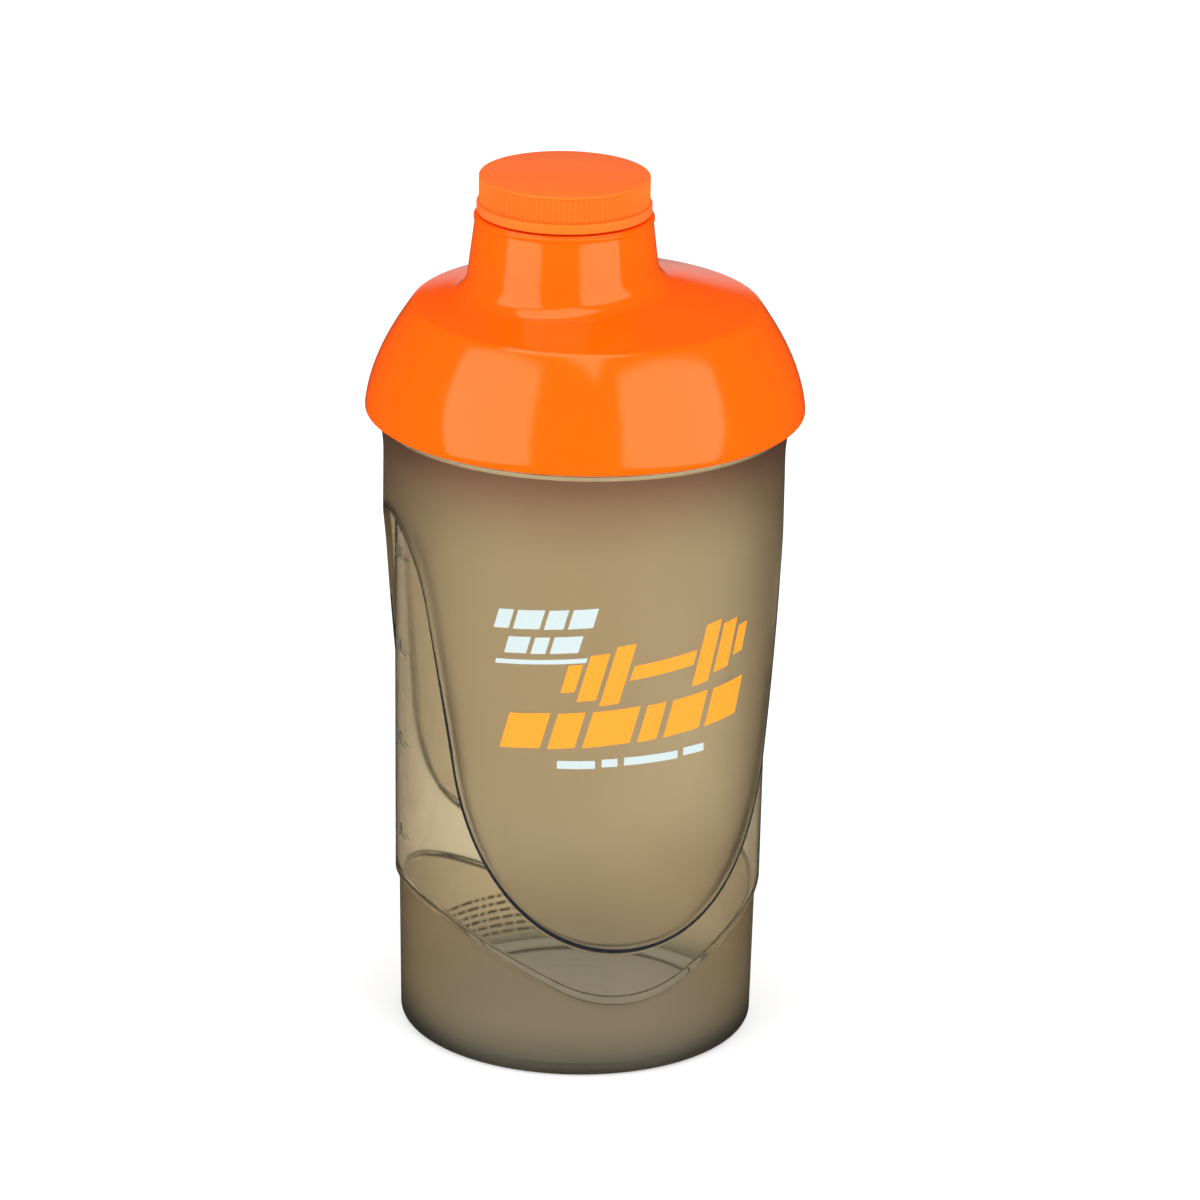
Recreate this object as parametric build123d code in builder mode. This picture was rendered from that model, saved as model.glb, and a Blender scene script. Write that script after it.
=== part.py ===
"""Protein shaker bottle: wave-panelled cup, domed screw lid with an offset neck, strainer and screw cap.

Millimetres, +Z up. The origin is the middle of the foot's resting face, and the cup's front
panel faces -Y. The lid's neck stands off the cup's axis, towards -X.
"""
from build123d import *
import math
import os

# ---- cup: overall sizes, then steps between its levels ----
cup_height = 157.0
panel_radius = 45.8
cup_wall = 1.7
floor_thickness = 1.8
foot_round = 2.0
foot_recess = 0.8
foot_ring_width = 6.0
band_flare = 0.7
band_height = 40.0
foot_set_in = 5.0
window_step = 1.4
window_flare = 1.0
panel_low_step = 0.1

# Wave edge of the foot band: an arc in the middle of each face, then straight rises to the sides
wave_low_z = 18.1
wave_arc_radius = 31.0
wave_rise_angle = 27.5

# Outline of a raised panel, seen square on: a round tongue, straight sides, and a flare that
# closes over each side window
tongue_low_z = 31.7
tongue_side_margin = 10.2
tongue_side_lean = 0.126
tongue_side_pull = 0.695
tongue_side_height = 38.0
window_top_drop = 26.5
window_flare_height = 20.5
# The flare runs on past the cup's side, leaning this much there, so that each window's top is round.
flare_overrun = 1.5
flare_top_lean = 0.45

# Bulge of the panels from their lowest point to their full radius
panel_start_drop = 6.0
panel_full_rise = 2.0
panel_low_lean = 1.9
panel_low_pull = 24.0
panel_high_lean = 0.05
panel_high_pull = 32.0

# Collar and mouth of the cup, under the lid
collar_step = 1.1
collar_flare_length = 9.8
collar_lip_drop = 1.3
collar_edge_drop = 0.5
mouth_height = 9.7
mouth_set_in = 0.2
mouth_chamfer = 0.5

# ---- lid ----
lid_overhang = 3.1
lid_edge_gap = 0.8
lid_edge_height = 1.2
lid_wall = 1.7
dome_height = 24.9
crease_set_in = 10.6
crease_round = 2.5
crease_side_out = 1.3
crease_side_drop = 1.9
dome_low_in = 1.0
dome_low_pull = 9.9
dome_high_out = 3.8
dome_high_pull = 5.6
shoulder_slope = 0.277
# How far each point of the dome's profile moves in and down for each millimetre that it is drawn in
dome_low_shift = (1.0, 0.35)
dome_high_shift = (0.85, 0.55)
dome_side_shift = (0.8, 0.6)
crease_shift = (0.75, 0.85)
peak_shift = 1.04

neck_offset = 5.6
neck_low_radius = 21.35
neck_low_height = 10.0
neck_top_radius = 19.95
neck_height = 21.4
neck_blend_radius = 6.0
bead_height = 1.4
bead_depth = 0.45
bead_top_step = 0.3
spout_radius = 16.4
spout_wall = 1.5
spout_height = 7.0

# ---- fits ----
turning_clearance = 0.3
seat_clearance = 0.05

# Lid screw: one start, so one turn raises the lid by its pitch
lid_pitch = 4.0
lid_thread_turns = 0.97
lid_thread_depth = 1.15
lid_thread_root = 1.9
lid_thread_crest = 1.0
lid_thread_crest_gap = 0.6
lid_thread_lead_in = 1.2

# Cap screw
cap_pitch = 3.0
cap_thread_turns = 0.97
cap_thread_depth = 1.0
cap_thread_root = 1.4
cap_thread_crest = 0.7
cap_thread_crest_gap = 0.5
cap_thread_lead_in = 0.95

thread_embed = 0.3

# ---- lid seal and strainer ----
gasket_thickness = 1.6
seat_web_thickness = 1.5
skirt_top_drop = 0.9
plug_wall = 1.3
plug_drop = 7.0
strainer_wall = 1.3
strainer_height = 6.0
strainer_plate = 1.5
strainer_hole = 3.6
strainer_hole_pitch = 5.2
strainer_top_gap = 1.0

# ---- spout cap ----
cap_edge_gap = 0.5
cap_height = 8.5
cap_band_height = 2.3
cap_top_thickness = 1.2
cap_wall = 0.95
cap_band_step = 0.95
cap_top_step = 0.45
cap_rib_count = 96
cap_rib_radius = 0.33
cap_rib_top_gap = 0.5
liner_thickness = 0.7
liner_margin = 0.7

# ---- construction ----
cutter_margin = 10.0
window_overlap = 4.0
seam_angle = 40

# ---- derived values: cup ----
foot_radius = panel_radius - foot_set_in
window_radius_low = foot_radius + window_step
window_radius_high = window_radius_low + window_flare
panel_radius_low = window_radius_high + panel_low_step
tongue_side_half_width = panel_radius - tongue_side_margin
window_top_z = cup_height - window_top_drop
tongue_flare_z = window_top_z - window_flare_height
tongue_side_z = tongue_flare_z - tongue_side_height
panel_full_radius_z = tongue_flare_z + panel_full_rise
collar_radius = panel_radius + collar_step
collar_top_z = cup_height - mouth_height
mouth_radius = panel_radius - mouth_set_in
mouth_bore = panel_radius - cup_wall
floor_top_z = foot_recess + floor_thickness
wave_half_angle = math.radians(wave_rise_angle)
wave_arc_x = wave_arc_radius * math.sin(wave_half_angle)
wave_arc_z = wave_arc_radius * (1 - math.cos(wave_half_angle))

# ---- derived values: lid ----
lid_edge_radius = collar_radius + lid_overhang
lid_edge_z = collar_top_z + lid_edge_gap
crease_radius = lid_edge_radius - crease_set_in
crease_z = lid_edge_z + dome_height
neck_low_z = crease_z + neck_low_height
neck_top_z = crease_z + neck_height
spout_top_z = neck_top_z + spout_height
spout_bore = spout_radius - spout_wall
skirt_bore = mouth_radius + lid_thread_depth + lid_thread_crest_gap
skirt_top_z = cup_height - skirt_top_drop
seat_z = cup_height + seat_clearance + gasket_thickness + seat_clearance
plug_radius = mouth_bore - turning_clearance
plug_bore = plug_radius - plug_wall
strainer_radius = plug_bore - turning_clearance
reach = lid_edge_radius + cutter_margin
neck_axis = Axis((-neck_offset, 0, 0), (0, 0, 1))

# ---- derived values: cap ----
cap_low_z = neck_top_z + cap_edge_gap
cap_bore = spout_radius + cap_thread_depth + cap_thread_crest_gap
cap_body_radius = cap_bore + cap_wall
cap_band_radius = cap_body_radius + cap_band_step
cap_top_radius = cap_body_radius + cap_top_step
cap_roof_z = cap_low_z + cap_height - cap_top_thickness

# The cup's turned profiles stand on a plane clear of its front, its back and its windows.
turned_plane = Plane.XZ.rotated((0, 0, seam_angle))


def neck_plane(height):
    """Horizontal plane centred on the neck's axis."""
    return Plane(origin=(-neck_offset, 0, height), x_dir=(1, 0, 0), z_dir=(0, 0, 1))


def foot_level(inset, bottom_z):
    """Turned foot band of the cup, drawn in by inset."""
    radius = foot_radius - inset
    corner = foot_round
    with BuildPart() as level:
        with BuildSketch(turned_plane):
            with BuildLine():
                start = Line((0, bottom_z), (radius - corner, bottom_z))
                bend = TangentArc(start @ 1, (radius, bottom_z + corner), tangent=(1, 0))
                Polyline(bend @ 1, (radius + band_flare, band_height), (0, band_height), start @ 0)
            make_face()
        revolve(axis=Axis.Z)
    return level.part


def window_level(inset, bottom_z):
    """Turned sleeve of the clear windows, kept above the wave edge of the foot band."""
    low = wave_low_z + inset
    side_z = low + wave_arc_z + (reach - wave_arc_x) * math.tan(wave_half_angle)
    top_z = window_top_z + window_overlap
    with BuildPart() as level:
        with BuildSketch(turned_plane):
            Polygon(
                (0, bottom_z),
                (window_radius_low - inset, bottom_z),
                (window_radius_low - inset, low),
                (window_radius_high - inset, top_z),
                (0, top_z),
                align=None,
            )
        revolve(axis=Axis.Z)
        with BuildSketch(Plane.XZ):
            with BuildLine():
                arc = ThreePointArc(
                    (-wave_arc_x, low + wave_arc_z),
                    (0, low),
                    (wave_arc_x, low + wave_arc_z),
                )
                Polyline(arc @ 1, (reach, side_z), (reach, top_z), (-reach, top_z), (-reach, side_z), arc @ 0)
            make_face()
        extrude(amount=reach, both=True, mode=Mode.INTERSECT)
    return level.part


def panel_outline(inset):
    """Region of the raised panels seen along Y, drawn in by inset: tongue, sides and upper band."""
    low = tongue_low_z + inset
    side = tongue_side_half_width - inset
    flare_x = side + (tongue_flare_z - tongue_side_z) * tongue_side_lean
    top_x = panel_radius - inset + flare_overrun
    top_z = window_top_z + inset + flare_overrun / flare_top_lean
    end_z = cup_height + cutter_margin
    pull = tongue_side_pull * (tongue_side_z - tongue_low_z)
    with BuildSketch(Plane.XZ) as region:
        with BuildLine() as half:
            tongue = Bezier(
                (0, low),
                (tongue_side_half_width / 2, low),
                (side - pull * tongue_side_lean, tongue_side_z - pull),
                (side, tongue_side_z),
            )
            rise = Line(tongue @ 1, (flare_x, tongue_flare_z))
            flare = TangentArc(rise @ 1, (top_x, top_z), tangent=rise % 1)
            Polyline(flare @ 1, (reach, top_z), (reach, end_z), (0, end_z))
            mirror(half.line, about=Plane.YZ)
        make_face()
    return region.sketch


def panel_level(inset, outer):
    """Turned body of the raised panels and of the band above the windows."""
    radius = panel_radius - inset
    start_z = tongue_low_z - panel_start_drop
    flare_z = collar_top_z - collar_flare_length
    with BuildPart() as level:
        with BuildSketch(turned_plane):
            with BuildLine():
                lower = Bezier(
                    (panel_radius_low - inset, start_z),
                    (panel_radius_low + panel_low_lean - inset, start_z + panel_low_pull),
                    (radius - panel_high_lean, panel_full_radius_z - panel_high_pull),
                    (radius, panel_full_radius_z),
                )
                if outer:
                    lip_z = collar_top_z - collar_lip_drop
                    wall = Line(lower @ 1, (radius, flare_z))
                    flare = TangentArc(wall @ 1, (collar_radius, lip_z), tangent=(0, 1))
                    Polyline(
                        flare @ 1,
                        (collar_radius, collar_top_z - collar_edge_drop),
                        (mouth_radius, collar_top_z),
                        (mouth_radius, cup_height - mouth_chamfer),
                        (mouth_radius - mouth_chamfer, cup_height),
                        (0, cup_height),
                        (0, start_z),
                        lower @ 0,
                    )
                else:
                    end_z = cup_height + cutter_margin
                    Polyline(lower @ 1, (radius, end_z), (0, end_z), (0, start_z), lower @ 0)
            make_face()
        revolve(axis=Axis.Z)
        extrude(panel_outline(inset), amount=reach, both=True, mode=Mode.INTERSECT)
    return level.part


def thread_ridge(radius, depth, pitch, turns, start_z, root, crest, centre_x):
    """One helical ridge standing out of radius by depth, or inwards where depth is negative."""
    embed = math.copysign(thread_embed, depth)
    foot = root / 2 + thread_embed * (root - crest) / 2 / abs(depth)
    with BuildPart() as ridge:
        with BuildLine() as path:
            Helix(pitch=pitch, height=pitch * turns, radius=radius, center=(centre_x, 0, start_z))
        with BuildSketch(Plane(origin=path.line @ 0, x_dir=(1, 0, 0), z_dir=path.line % 0)):
            Polygon((-embed, -foot), (depth, -crest / 2), (depth, crest / 2), (-embed, foot), align=None)
        sweep(path=path.line, is_frenet=True)
    return ridge.part


# ---- cup ----
lid_ridge_z = lid_edge_z + lid_thread_lead_in
cup_ridge_z = lid_ridge_z + lid_pitch / 2

with BuildPart() as cup:
    add(foot_level(0, 0))
    add(window_level(0, floor_top_z))
    add(panel_level(0, outer=True))
    add(foot_level(cup_wall, floor_top_z), mode=Mode.SUBTRACT)
    add(window_level(cup_wall, floor_top_z), mode=Mode.SUBTRACT)
    add(panel_level(cup_wall, outer=False), mode=Mode.SUBTRACT)
    with BuildSketch(Plane.XY):
        Circle(foot_radius - foot_round - foot_ring_width)
    extrude(amount=foot_recess, mode=Mode.SUBTRACT)
    add(thread_ridge(mouth_radius, lid_thread_depth, lid_pitch, lid_thread_turns, cup_ridge_z,
                     lid_thread_root, lid_thread_crest, 0))


def drawn_in(point, shift, inset):
    """Point of the dome's profile moved in and down by its own shift for each millimetre of inset."""
    return (point[0] - shift[0] * inset, point[1] - shift[1] * inset)


def dome_profile(inset):
    """Half section of the lid's dome, drawn in by inset, from its open edge to the axis."""
    side_x = crease_radius + crease_side_out
    side_z = crease_z - crease_side_drop
    peak_z = crease_z + crease_radius * shoulder_slope
    edge = lid_edge_radius - inset
    with BuildSketch(Plane.XZ) as half:
        with BuildLine():
            base = Line((0, lid_edge_z), (edge, lid_edge_z))
            rim = Line(base @ 1, (edge, lid_edge_z + lid_edge_height))
            side = Bezier(
                rim @ 1,
                drawn_in((lid_edge_radius - dome_low_in, lid_edge_z + dome_low_pull), dome_low_shift, inset),
                drawn_in((side_x + dome_high_out, side_z - dome_high_pull), dome_high_shift, inset),
                drawn_in((side_x, side_z), dome_side_shift, inset),
            )
            crease = drawn_in((crease_radius, crease_z), crease_shift, inset)
            Polyline(side @ 1, crease, (0, peak_z - peak_shift * inset), base @ 0)
        make_face()
        fillet(half.vertices().group_by(Axis.X)[-3].sort_by(Axis.Z)[-1], crease_round)
    return half.sketch


def lid_form(inset):
    """Dome and neck as one closed body, drawn in by inset, with the neck blended into the dome."""
    lean = (neck_low_radius - neck_top_radius) / (neck_top_z - neck_low_z)
    root_z = crease_z
    root_radius = neck_low_radius + (neck_low_z - root_z) * lean - inset
    top_z = neck_top_z - inset
    with BuildPart() as form:
        add(dome_profile(inset))
        revolve(axis=Axis.Z)
        with BuildSketch(Plane.XZ):
            with Locations((-neck_offset, 0)):
                Polygon((0, root_z), (root_radius, root_z), (neck_top_radius - inset, top_z), (0, top_z),
                        align=None)
        revolve(axis=neck_axis)
        root_low_z = crease_z + crease_round / 2
        root_length = 4 * neck_low_radius
        root_edges = form.edges().filter_by(
            lambda e: root_low_z < e.center().Z < neck_low_z and e.length > root_length
        )
        fillet(root_edges, neck_blend_radius + inset)
    return form.part


def tube(outer, inner, low_z, high_z):
    """Plain upright ring about the cup's axis."""
    with BuildPart() as ring:
        with BuildSketch(Plane.XY.offset(low_z)):
            Circle(outer)
            Circle(inner, mode=Mode.SUBTRACT)
        extrude(amount=high_z - low_z)
    return ring.part


plug_low_z = seat_z - plug_drop
plug_top_z = seat_z + seat_web_thickness
neck_ridge_z = cap_low_z + cap_thread_lead_in + cap_pitch / 2

# Threaded skirt, plug and the web over the cup's rim, each reaching half way into the dome's wall
with BuildPart() as lid_inner:
    add(tube(lid_edge_radius, skirt_bore, lid_edge_z, skirt_top_z))
    add(tube(lid_edge_radius, plug_bore, seat_z, plug_top_z))
    add(lid_form(lid_wall / 2), mode=Mode.INTERSECT)
    add(tube(plug_radius, plug_bore, plug_low_z, seat_z))

with BuildPart() as lid:
    add(lid_form(0))
    add(lid_form(lid_wall), mode=Mode.SUBTRACT)
    add(lid_inner.part)
    with BuildSketch(Plane.XY.offset(lid_edge_z)):
        Circle(skirt_bore)
        Circle(plug_radius, mode=Mode.SUBTRACT)
    extrude(amount=skirt_top_z - lid_edge_z, mode=Mode.SUBTRACT)
    # Bead round the top of the neck, then the spout with its bore
    with BuildSketch(neck_plane(neck_top_z - bead_height)):
        Circle(neck_top_radius + bead_depth)
    extrude(amount=bead_height - bead_top_step)
    with BuildSketch(neck_plane(neck_top_z - lid_wall / 2)):
        Circle(spout_radius)
    extrude(amount=spout_height + lid_wall / 2)
    with BuildSketch(neck_plane(neck_top_z - 2 * lid_wall)):
        Circle(spout_bore)
    extrude(amount=spout_height + 3 * lid_wall, mode=Mode.SUBTRACT)
    add(thread_ridge(skirt_bore, -lid_thread_depth, lid_pitch, lid_thread_turns, lid_ridge_z,
                     lid_thread_root, lid_thread_crest, 0))
    add(thread_ridge(spout_radius, cap_thread_depth, cap_pitch, cap_thread_turns, neck_ridge_z,
                     cap_thread_root, cap_thread_crest, -neck_offset))

# ---- lid seal: a flat ring between the cup's rim and the web inside the lid ----
with BuildPart() as lid_gasket:
    add(tube(mouth_radius, mouth_bore, cup_height + seat_clearance, seat_z - seat_clearance))

# ---- strainer: a rimmed plate with square holes, held in the lid's plug ----
strainer_top_z = plug_top_z - strainer_top_gap
strainer_low_z = strainer_top_z - strainer_height
hole_limit = strainer_radius - strainer_wall - strainer_hole
hole_steps = int(hole_limit // strainer_hole_pitch)
hole_places = [
    (column * strainer_hole_pitch, row * strainer_hole_pitch)
    for column in range(-hole_steps, hole_steps + 1)
    for row in range(-hole_steps, hole_steps + 1)
    if math.hypot(column, row) * strainer_hole_pitch < hole_limit
]

with BuildPart() as strainer:
    with BuildSketch(Plane.XY.offset(strainer_low_z)):
        Circle(strainer_radius)
    extrude(amount=strainer_plate)
    add(tube(strainer_radius, strainer_radius - strainer_wall, strainer_low_z, strainer_top_z))
    with BuildSketch(Plane.XY.offset(strainer_low_z)):
        with Locations(*hole_places):
            Rectangle(strainer_hole, strainer_hole)
    extrude(amount=strainer_plate, mode=Mode.SUBTRACT)

# ---- spout cap: ribbed grip over a smooth band, screwed on the spout ----
cap_top_z = cap_low_z + cap_height
rib_low_z = cap_low_z + cap_band_height
cap_ridge_z = cap_low_z + cap_thread_lead_in

with BuildPart() as spout_cap:
    with BuildSketch(neck_plane(cap_low_z)):
        Circle(cap_body_radius)
    extrude(amount=cap_height)
    with BuildSketch(neck_plane(cap_low_z)):
        Circle(cap_band_radius)
    extrude(amount=cap_band_height)
    with BuildSketch(neck_plane(rib_low_z)):
        with PolarLocations(cap_body_radius, cap_rib_count):
            Circle(cap_rib_radius)
    extrude(amount=cap_height - cap_band_height - cap_rib_top_gap)
    with BuildSketch(neck_plane(cap_top_z - cap_rib_top_gap)):
        Circle(cap_top_radius)
    extrude(amount=cap_rib_top_gap)
    with BuildSketch(neck_plane(cap_low_z)):
        Circle(cap_bore)
    extrude(amount=cap_roof_z - cap_low_z, mode=Mode.SUBTRACT)
    add(thread_ridge(cap_bore, -cap_thread_depth, cap_pitch, cap_thread_turns, cap_ridge_z,
                     cap_thread_root, cap_thread_crest, -neck_offset))

# ---- cap liner: a soft disc between the spout's rim and the cap's roof ----
with BuildPart() as cap_liner:
    with BuildSketch(neck_plane(spout_top_z + seat_clearance)):
        Circle(cap_bore - liner_margin)
    extrude(amount=liner_thickness)

# ---- write the pieces ----
pieces = {
    "cup": cup.part,
    "lid": lid.part,
    "lid_gasket": lid_gasket.part,
    "strainer": strainer.part,
    "spout_cap": spout_cap.part,
    "cap_liner": cap_liner.part,
}
os.makedirs("parts", exist_ok=True)
for name, piece in pieces.items():
    piece.label = name
    export_step(piece, f"parts/{name}.step")
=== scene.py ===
"""Protein shaker bottle: smoked wave-panelled cup, domed orange lid with an offset neck, ribbed cap.

Metres, +Z up, in the packed model's frame. The cup's front panel faces -Y and its clear windows face
-X and +X. Each piece of the bottle has its own operator, and so does the stage.
"""
import math

import bpy
import numpy as np
from bpy.props import FloatProperty, FloatVectorProperty, IntProperty, PointerProperty
from mathutils import Matrix, Vector


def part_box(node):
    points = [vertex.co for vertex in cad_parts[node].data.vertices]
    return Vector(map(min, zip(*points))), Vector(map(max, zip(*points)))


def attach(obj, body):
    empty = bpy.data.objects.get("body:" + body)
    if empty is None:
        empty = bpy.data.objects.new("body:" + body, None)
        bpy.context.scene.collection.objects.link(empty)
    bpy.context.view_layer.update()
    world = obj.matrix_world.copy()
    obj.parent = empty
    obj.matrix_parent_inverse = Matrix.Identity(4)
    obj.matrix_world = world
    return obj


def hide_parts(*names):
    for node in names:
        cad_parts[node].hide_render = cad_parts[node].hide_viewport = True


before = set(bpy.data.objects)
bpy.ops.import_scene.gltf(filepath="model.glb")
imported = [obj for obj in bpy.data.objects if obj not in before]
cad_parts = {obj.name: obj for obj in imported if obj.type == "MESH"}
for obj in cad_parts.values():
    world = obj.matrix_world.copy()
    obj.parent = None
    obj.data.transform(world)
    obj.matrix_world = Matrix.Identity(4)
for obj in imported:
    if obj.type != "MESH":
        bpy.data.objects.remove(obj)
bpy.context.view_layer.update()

bl_info = {
    "name": "Shaker Bottle",
    "version": (1, 0, 0),
    "blender": (4, 5, 0),
    "location": "View3D > Sidebar > Shaker",
    "description": "Builds a protein shaker bottle around its packed frame",
    "category": "Object",
}

MM = 0.001

# ---- boxes of the frame's nodes ----
cup_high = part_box("cup")[1]
lid_low, lid_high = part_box("lid")
cap_low, cap_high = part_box("spout_cap")
gasket_low, gasket_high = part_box("lid_gasket")
liner_low, liner_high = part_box("cap_liner")
neck_x = (cap_low.x + cap_high.x) / 2

# ---- cup ----
CUP_TOP = cup_high.z
CUP_WALL = 1.7 * MM
FOOT_RADIUS = 40.8 * MM
FOOT_ROUND = 2.0 * MM
FOOT_RECESS = 0.8 * MM
FOOT_RING = 6.0 * MM
FLOOR_TOP = 2.6 * MM
BAND_FLARE = 0.0175
WINDOW_RADIUS = 42.2 * MM
WINDOW_FLARE = 0.0086
PANEL_RADIUS_LOW = 43.3 * MM
PANEL_RADIUS = 45.8 * MM
PANEL_FULL_Z = 112.0 * MM
WAVE_LOW = 18.1 * MM
WAVE_ARC_RADIUS = 31.0 * MM
WAVE_RISE = math.radians(27.5)
TONGUE_LOW = 31.7 * MM
TONGUE_SIDE_Z = 72.0 * MM
TONGUE_HALF_WIDTH = 35.6 * MM
TONGUE_LEAN = 0.126
TONGUE_LEAN_DOWN = 28.0 * MM
# the dark border of each step and the dark part of the ledge are a painted dark shade line
STEP_SHARE = 0.6            # part of the step's height in which it climbs; the rest is its dark border
DARK_FROM = 0.3             # where the dark border starts, as a part of the step's height
LEDGE_DARK = (0.15, 0.75)   # part of the foot band's ledge that is dark
FLARE_Z = 110.0 * MM
WINDOW_TOP = 130.5 * MM
# heights over which the painted dark shade line of the steps thins
SLIM_HEIGHTS = (WINDOW_TOP - 50 * MM, WINDOW_TOP - 20 * MM)   # the dark border thins here
FLARE_OVERRUN = 1.5 * MM
FLARE_TOP_LEAN = 0.45
COLLAR_RADIUS = cup_high.x
COLLAR_TOP = 147.3 * MM
COLLAR_FLARE = 9.8 * MM
COLLAR_LIP = 1.3 * MM
MOUTH_RADIUS = 45.6 * MM
MOUTH_EDGE = 0.5 * MM

# ---- painted shades of the cup, the lid's shadow and the shade at the foot's lower edge: from and to these heights ----
LID_SHADE = (122 * MM, 149 * MM)
FOOT_SHADE = (13 * MM, 0.0)

# ---- lid ----
LID_EDGE_RADIUS = lid_high.x
LID_EDGE_Z = lid_low.z
LID_WALL = 1.7 * MM
CREASE_RADIUS = 39.4 * MM
CREASE_Z = 173.0 * MM
CREASE_ROUND = 2.5 * MM
SHOULDER_SLOPE = 0.277
NECK_LOW_RADIUS = 21.35 * MM
NECK_LOW_Z = 183.0 * MM
NECK_TOP_RADIUS = 19.95 * MM
NECK_TOP_Z = 194.4 * MM
NECK_BLEND = 6.0 * MM
BEAD_HEIGHT = 1.4 * MM
BEAD_DEPTH = 0.45 * MM
SPOUT_RADIUS = 16.4 * MM
SPOUT_BORE = 14.9 * MM
SPOUT_TOP = lid_high.z
SKIRT_BORE = 47.35 * MM
SKIRT_TOP = 156.1 * MM
SEAT_Z = 158.7 * MM
WEB_THICKNESS = 1.5 * MM
PLUG_RADIUS = 43.8 * MM
PLUG_BORE = 42.5 * MM
PLUG_DROP = 7.0 * MM

# ---- screw threads: depth, width at the root, width at the crest, pitch ----
LID_THREAD = (1.15 * MM, 1.9 * MM, 1.0 * MM, 4.0 * MM)
CAP_THREAD = (1.0 * MM, 1.4 * MM, 0.7 * MM, 3.0 * MM)
THREAD_TURNS = 0.97
LID_THREAD_Z = LID_EDGE_Z + 1.2 * MM
CAP_THREAD_Z = cap_low.z + 0.95 * MM

# ---- spout cap ----
CAP_BAND_RADIUS = (cap_high.x - cap_low.x) / 2
CAP_BAND_HEIGHT = 2.3 * MM
CAP_TOP_RADIUS = 19.3 * MM
CAP_BORE = 17.9 * MM
CAP_BODY_RADIUS = 18.85 * MM
CAP_ROOF = 1.2 * MM
CAP_RIB_DEPTH = 0.33 * MM


# ---------------------------------------------------------------- settings
class CupSettings(bpy.types.PropertyGroup):
    """Sizes and colours of the cup."""

    step_width: FloatProperty(
        name="Step width", description="Half width of the rounded step round each raised panel",
        default=0.95 * MM, min=0.3 * MM, max=1.6 * MM, precision=5, unit="LENGTH")
    ledge_width: FloatProperty(
        name="Ledge width", description="Half height of the ledge over the foot band",
        default=0.42 * MM, min=0.2 * MM, max=1.0 * MM, precision=5, unit="LENGTH")
    smoke: FloatVectorProperty(
        name="Frosted smoke", description="Tint of the frosted panels and foot band",
        default=(0.44, 0.325, 0.165), size=3, min=0, max=1, subtype="COLOR")
    clear_smoke: FloatVectorProperty(
        name="Clear smoke", description="Tint of the clear windows and of the mouth",
        default=(0.64, 0.55, 0.36), size=3, min=0, max=1, subtype="COLOR")
    inner_smoke: FloatVectorProperty(
        name="Inner smoke", description="Tint of the cup's inside and underside",
        default=(0.93, 0.91, 0.86), size=3, min=0, max=1, subtype="COLOR")
    # darker edge-on tint of the clear windows: longer path through the tinted wall, partly painted edge shade
    clear_edge_smoke_and_shade: FloatVectorProperty(
        name="Clear edge smoke and shade", description="Darker tint of the clear windows where they are seen edge on: longer path through the tinted wall, partly painted edge shade",
        default=(0.11, 0.05, 0.012), size=3, min=0, max=1, subtype="COLOR")
    # painted shade at the foot's lower edge, darker towards the floor
    painted_foot_shade: FloatVectorProperty(
        name="Painted foot shade", description="Painted shade at the foot's lower edge, darker towards the floor",
        default=(0.10, 0.10, 0.065), size=3, min=0, max=1, subtype="COLOR")
    # painted shadow of the lid on the frosted wall under it
    painted_lid_shadow: FloatVectorProperty(
        name="Painted lid shadow", description="Painted shadow of the lid on the frosted wall close under it",
        default=(0.19, 0.07, 0.045), size=3, min=0, max=1, subtype="COLOR")
    # darker edge-on tint of the frosted wall: longer path through the tinted wall, partly painted edge shade
    edge_smoke_and_shade: FloatVectorProperty(
        name="Edge smoke and shade", description="Darker where the wall is seen edge on: longer path through the tinted wall, partly painted edge shade",
        default=(0.13, 0.085, 0.045), size=3, min=0, max=1, subtype="COLOR")
    # painted dark shade line along the steps round the panels and over the foot band
    painted_step_shade: FloatVectorProperty(
        name="Painted step shade", description="Painted dark shade line along the steps round the panels and over the foot band",
        default=(0.012, 0.014, 0.020), size=3, min=0, max=1, subtype="COLOR")
    frost: FloatProperty(
        name="Frost", description="Roughness of the frosted panels",
        default=0.5, min=0.2, max=0.9, subtype="FACTOR")


class PrintSettings(bpy.types.PropertyGroup):
    """Sizes and colours of the prints on the cup."""

    ink_thickness: FloatProperty(
        name="Ink thickness", description="How far the ink stands on the cup",
        default=0.05 * MM, min=0.02 * MM, max=0.2 * MM, precision=5, unit="LENGTH")
    orange_ink: FloatVectorProperty(
        name="Orange ink", description="Colour of the bold bars on the front",
        default=(0.86, 0.28, 0.008), size=3, min=0, max=1, subtype="COLOR")
    pale_ink: FloatVectorProperty(
        name="Pale ink", description="Colour of the small bars on the front",
        default=(0.46, 0.54, 0.54), size=3, min=0, max=1, subtype="COLOR")
    grey_ink: FloatVectorProperty(
        name="Grey ink", description="Colour of the volume scales and the back lines",
        default=(0.11, 0.11, 0.11), size=3, min=0, max=1, subtype="COLOR")
    digit_height: FloatProperty(
        name="Digit height", description="Height of the numbers on the volume scales",
        default=3.0 * MM, min=1.5 * MM, max=6 * MM, precision=4, unit="LENGTH")


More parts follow.
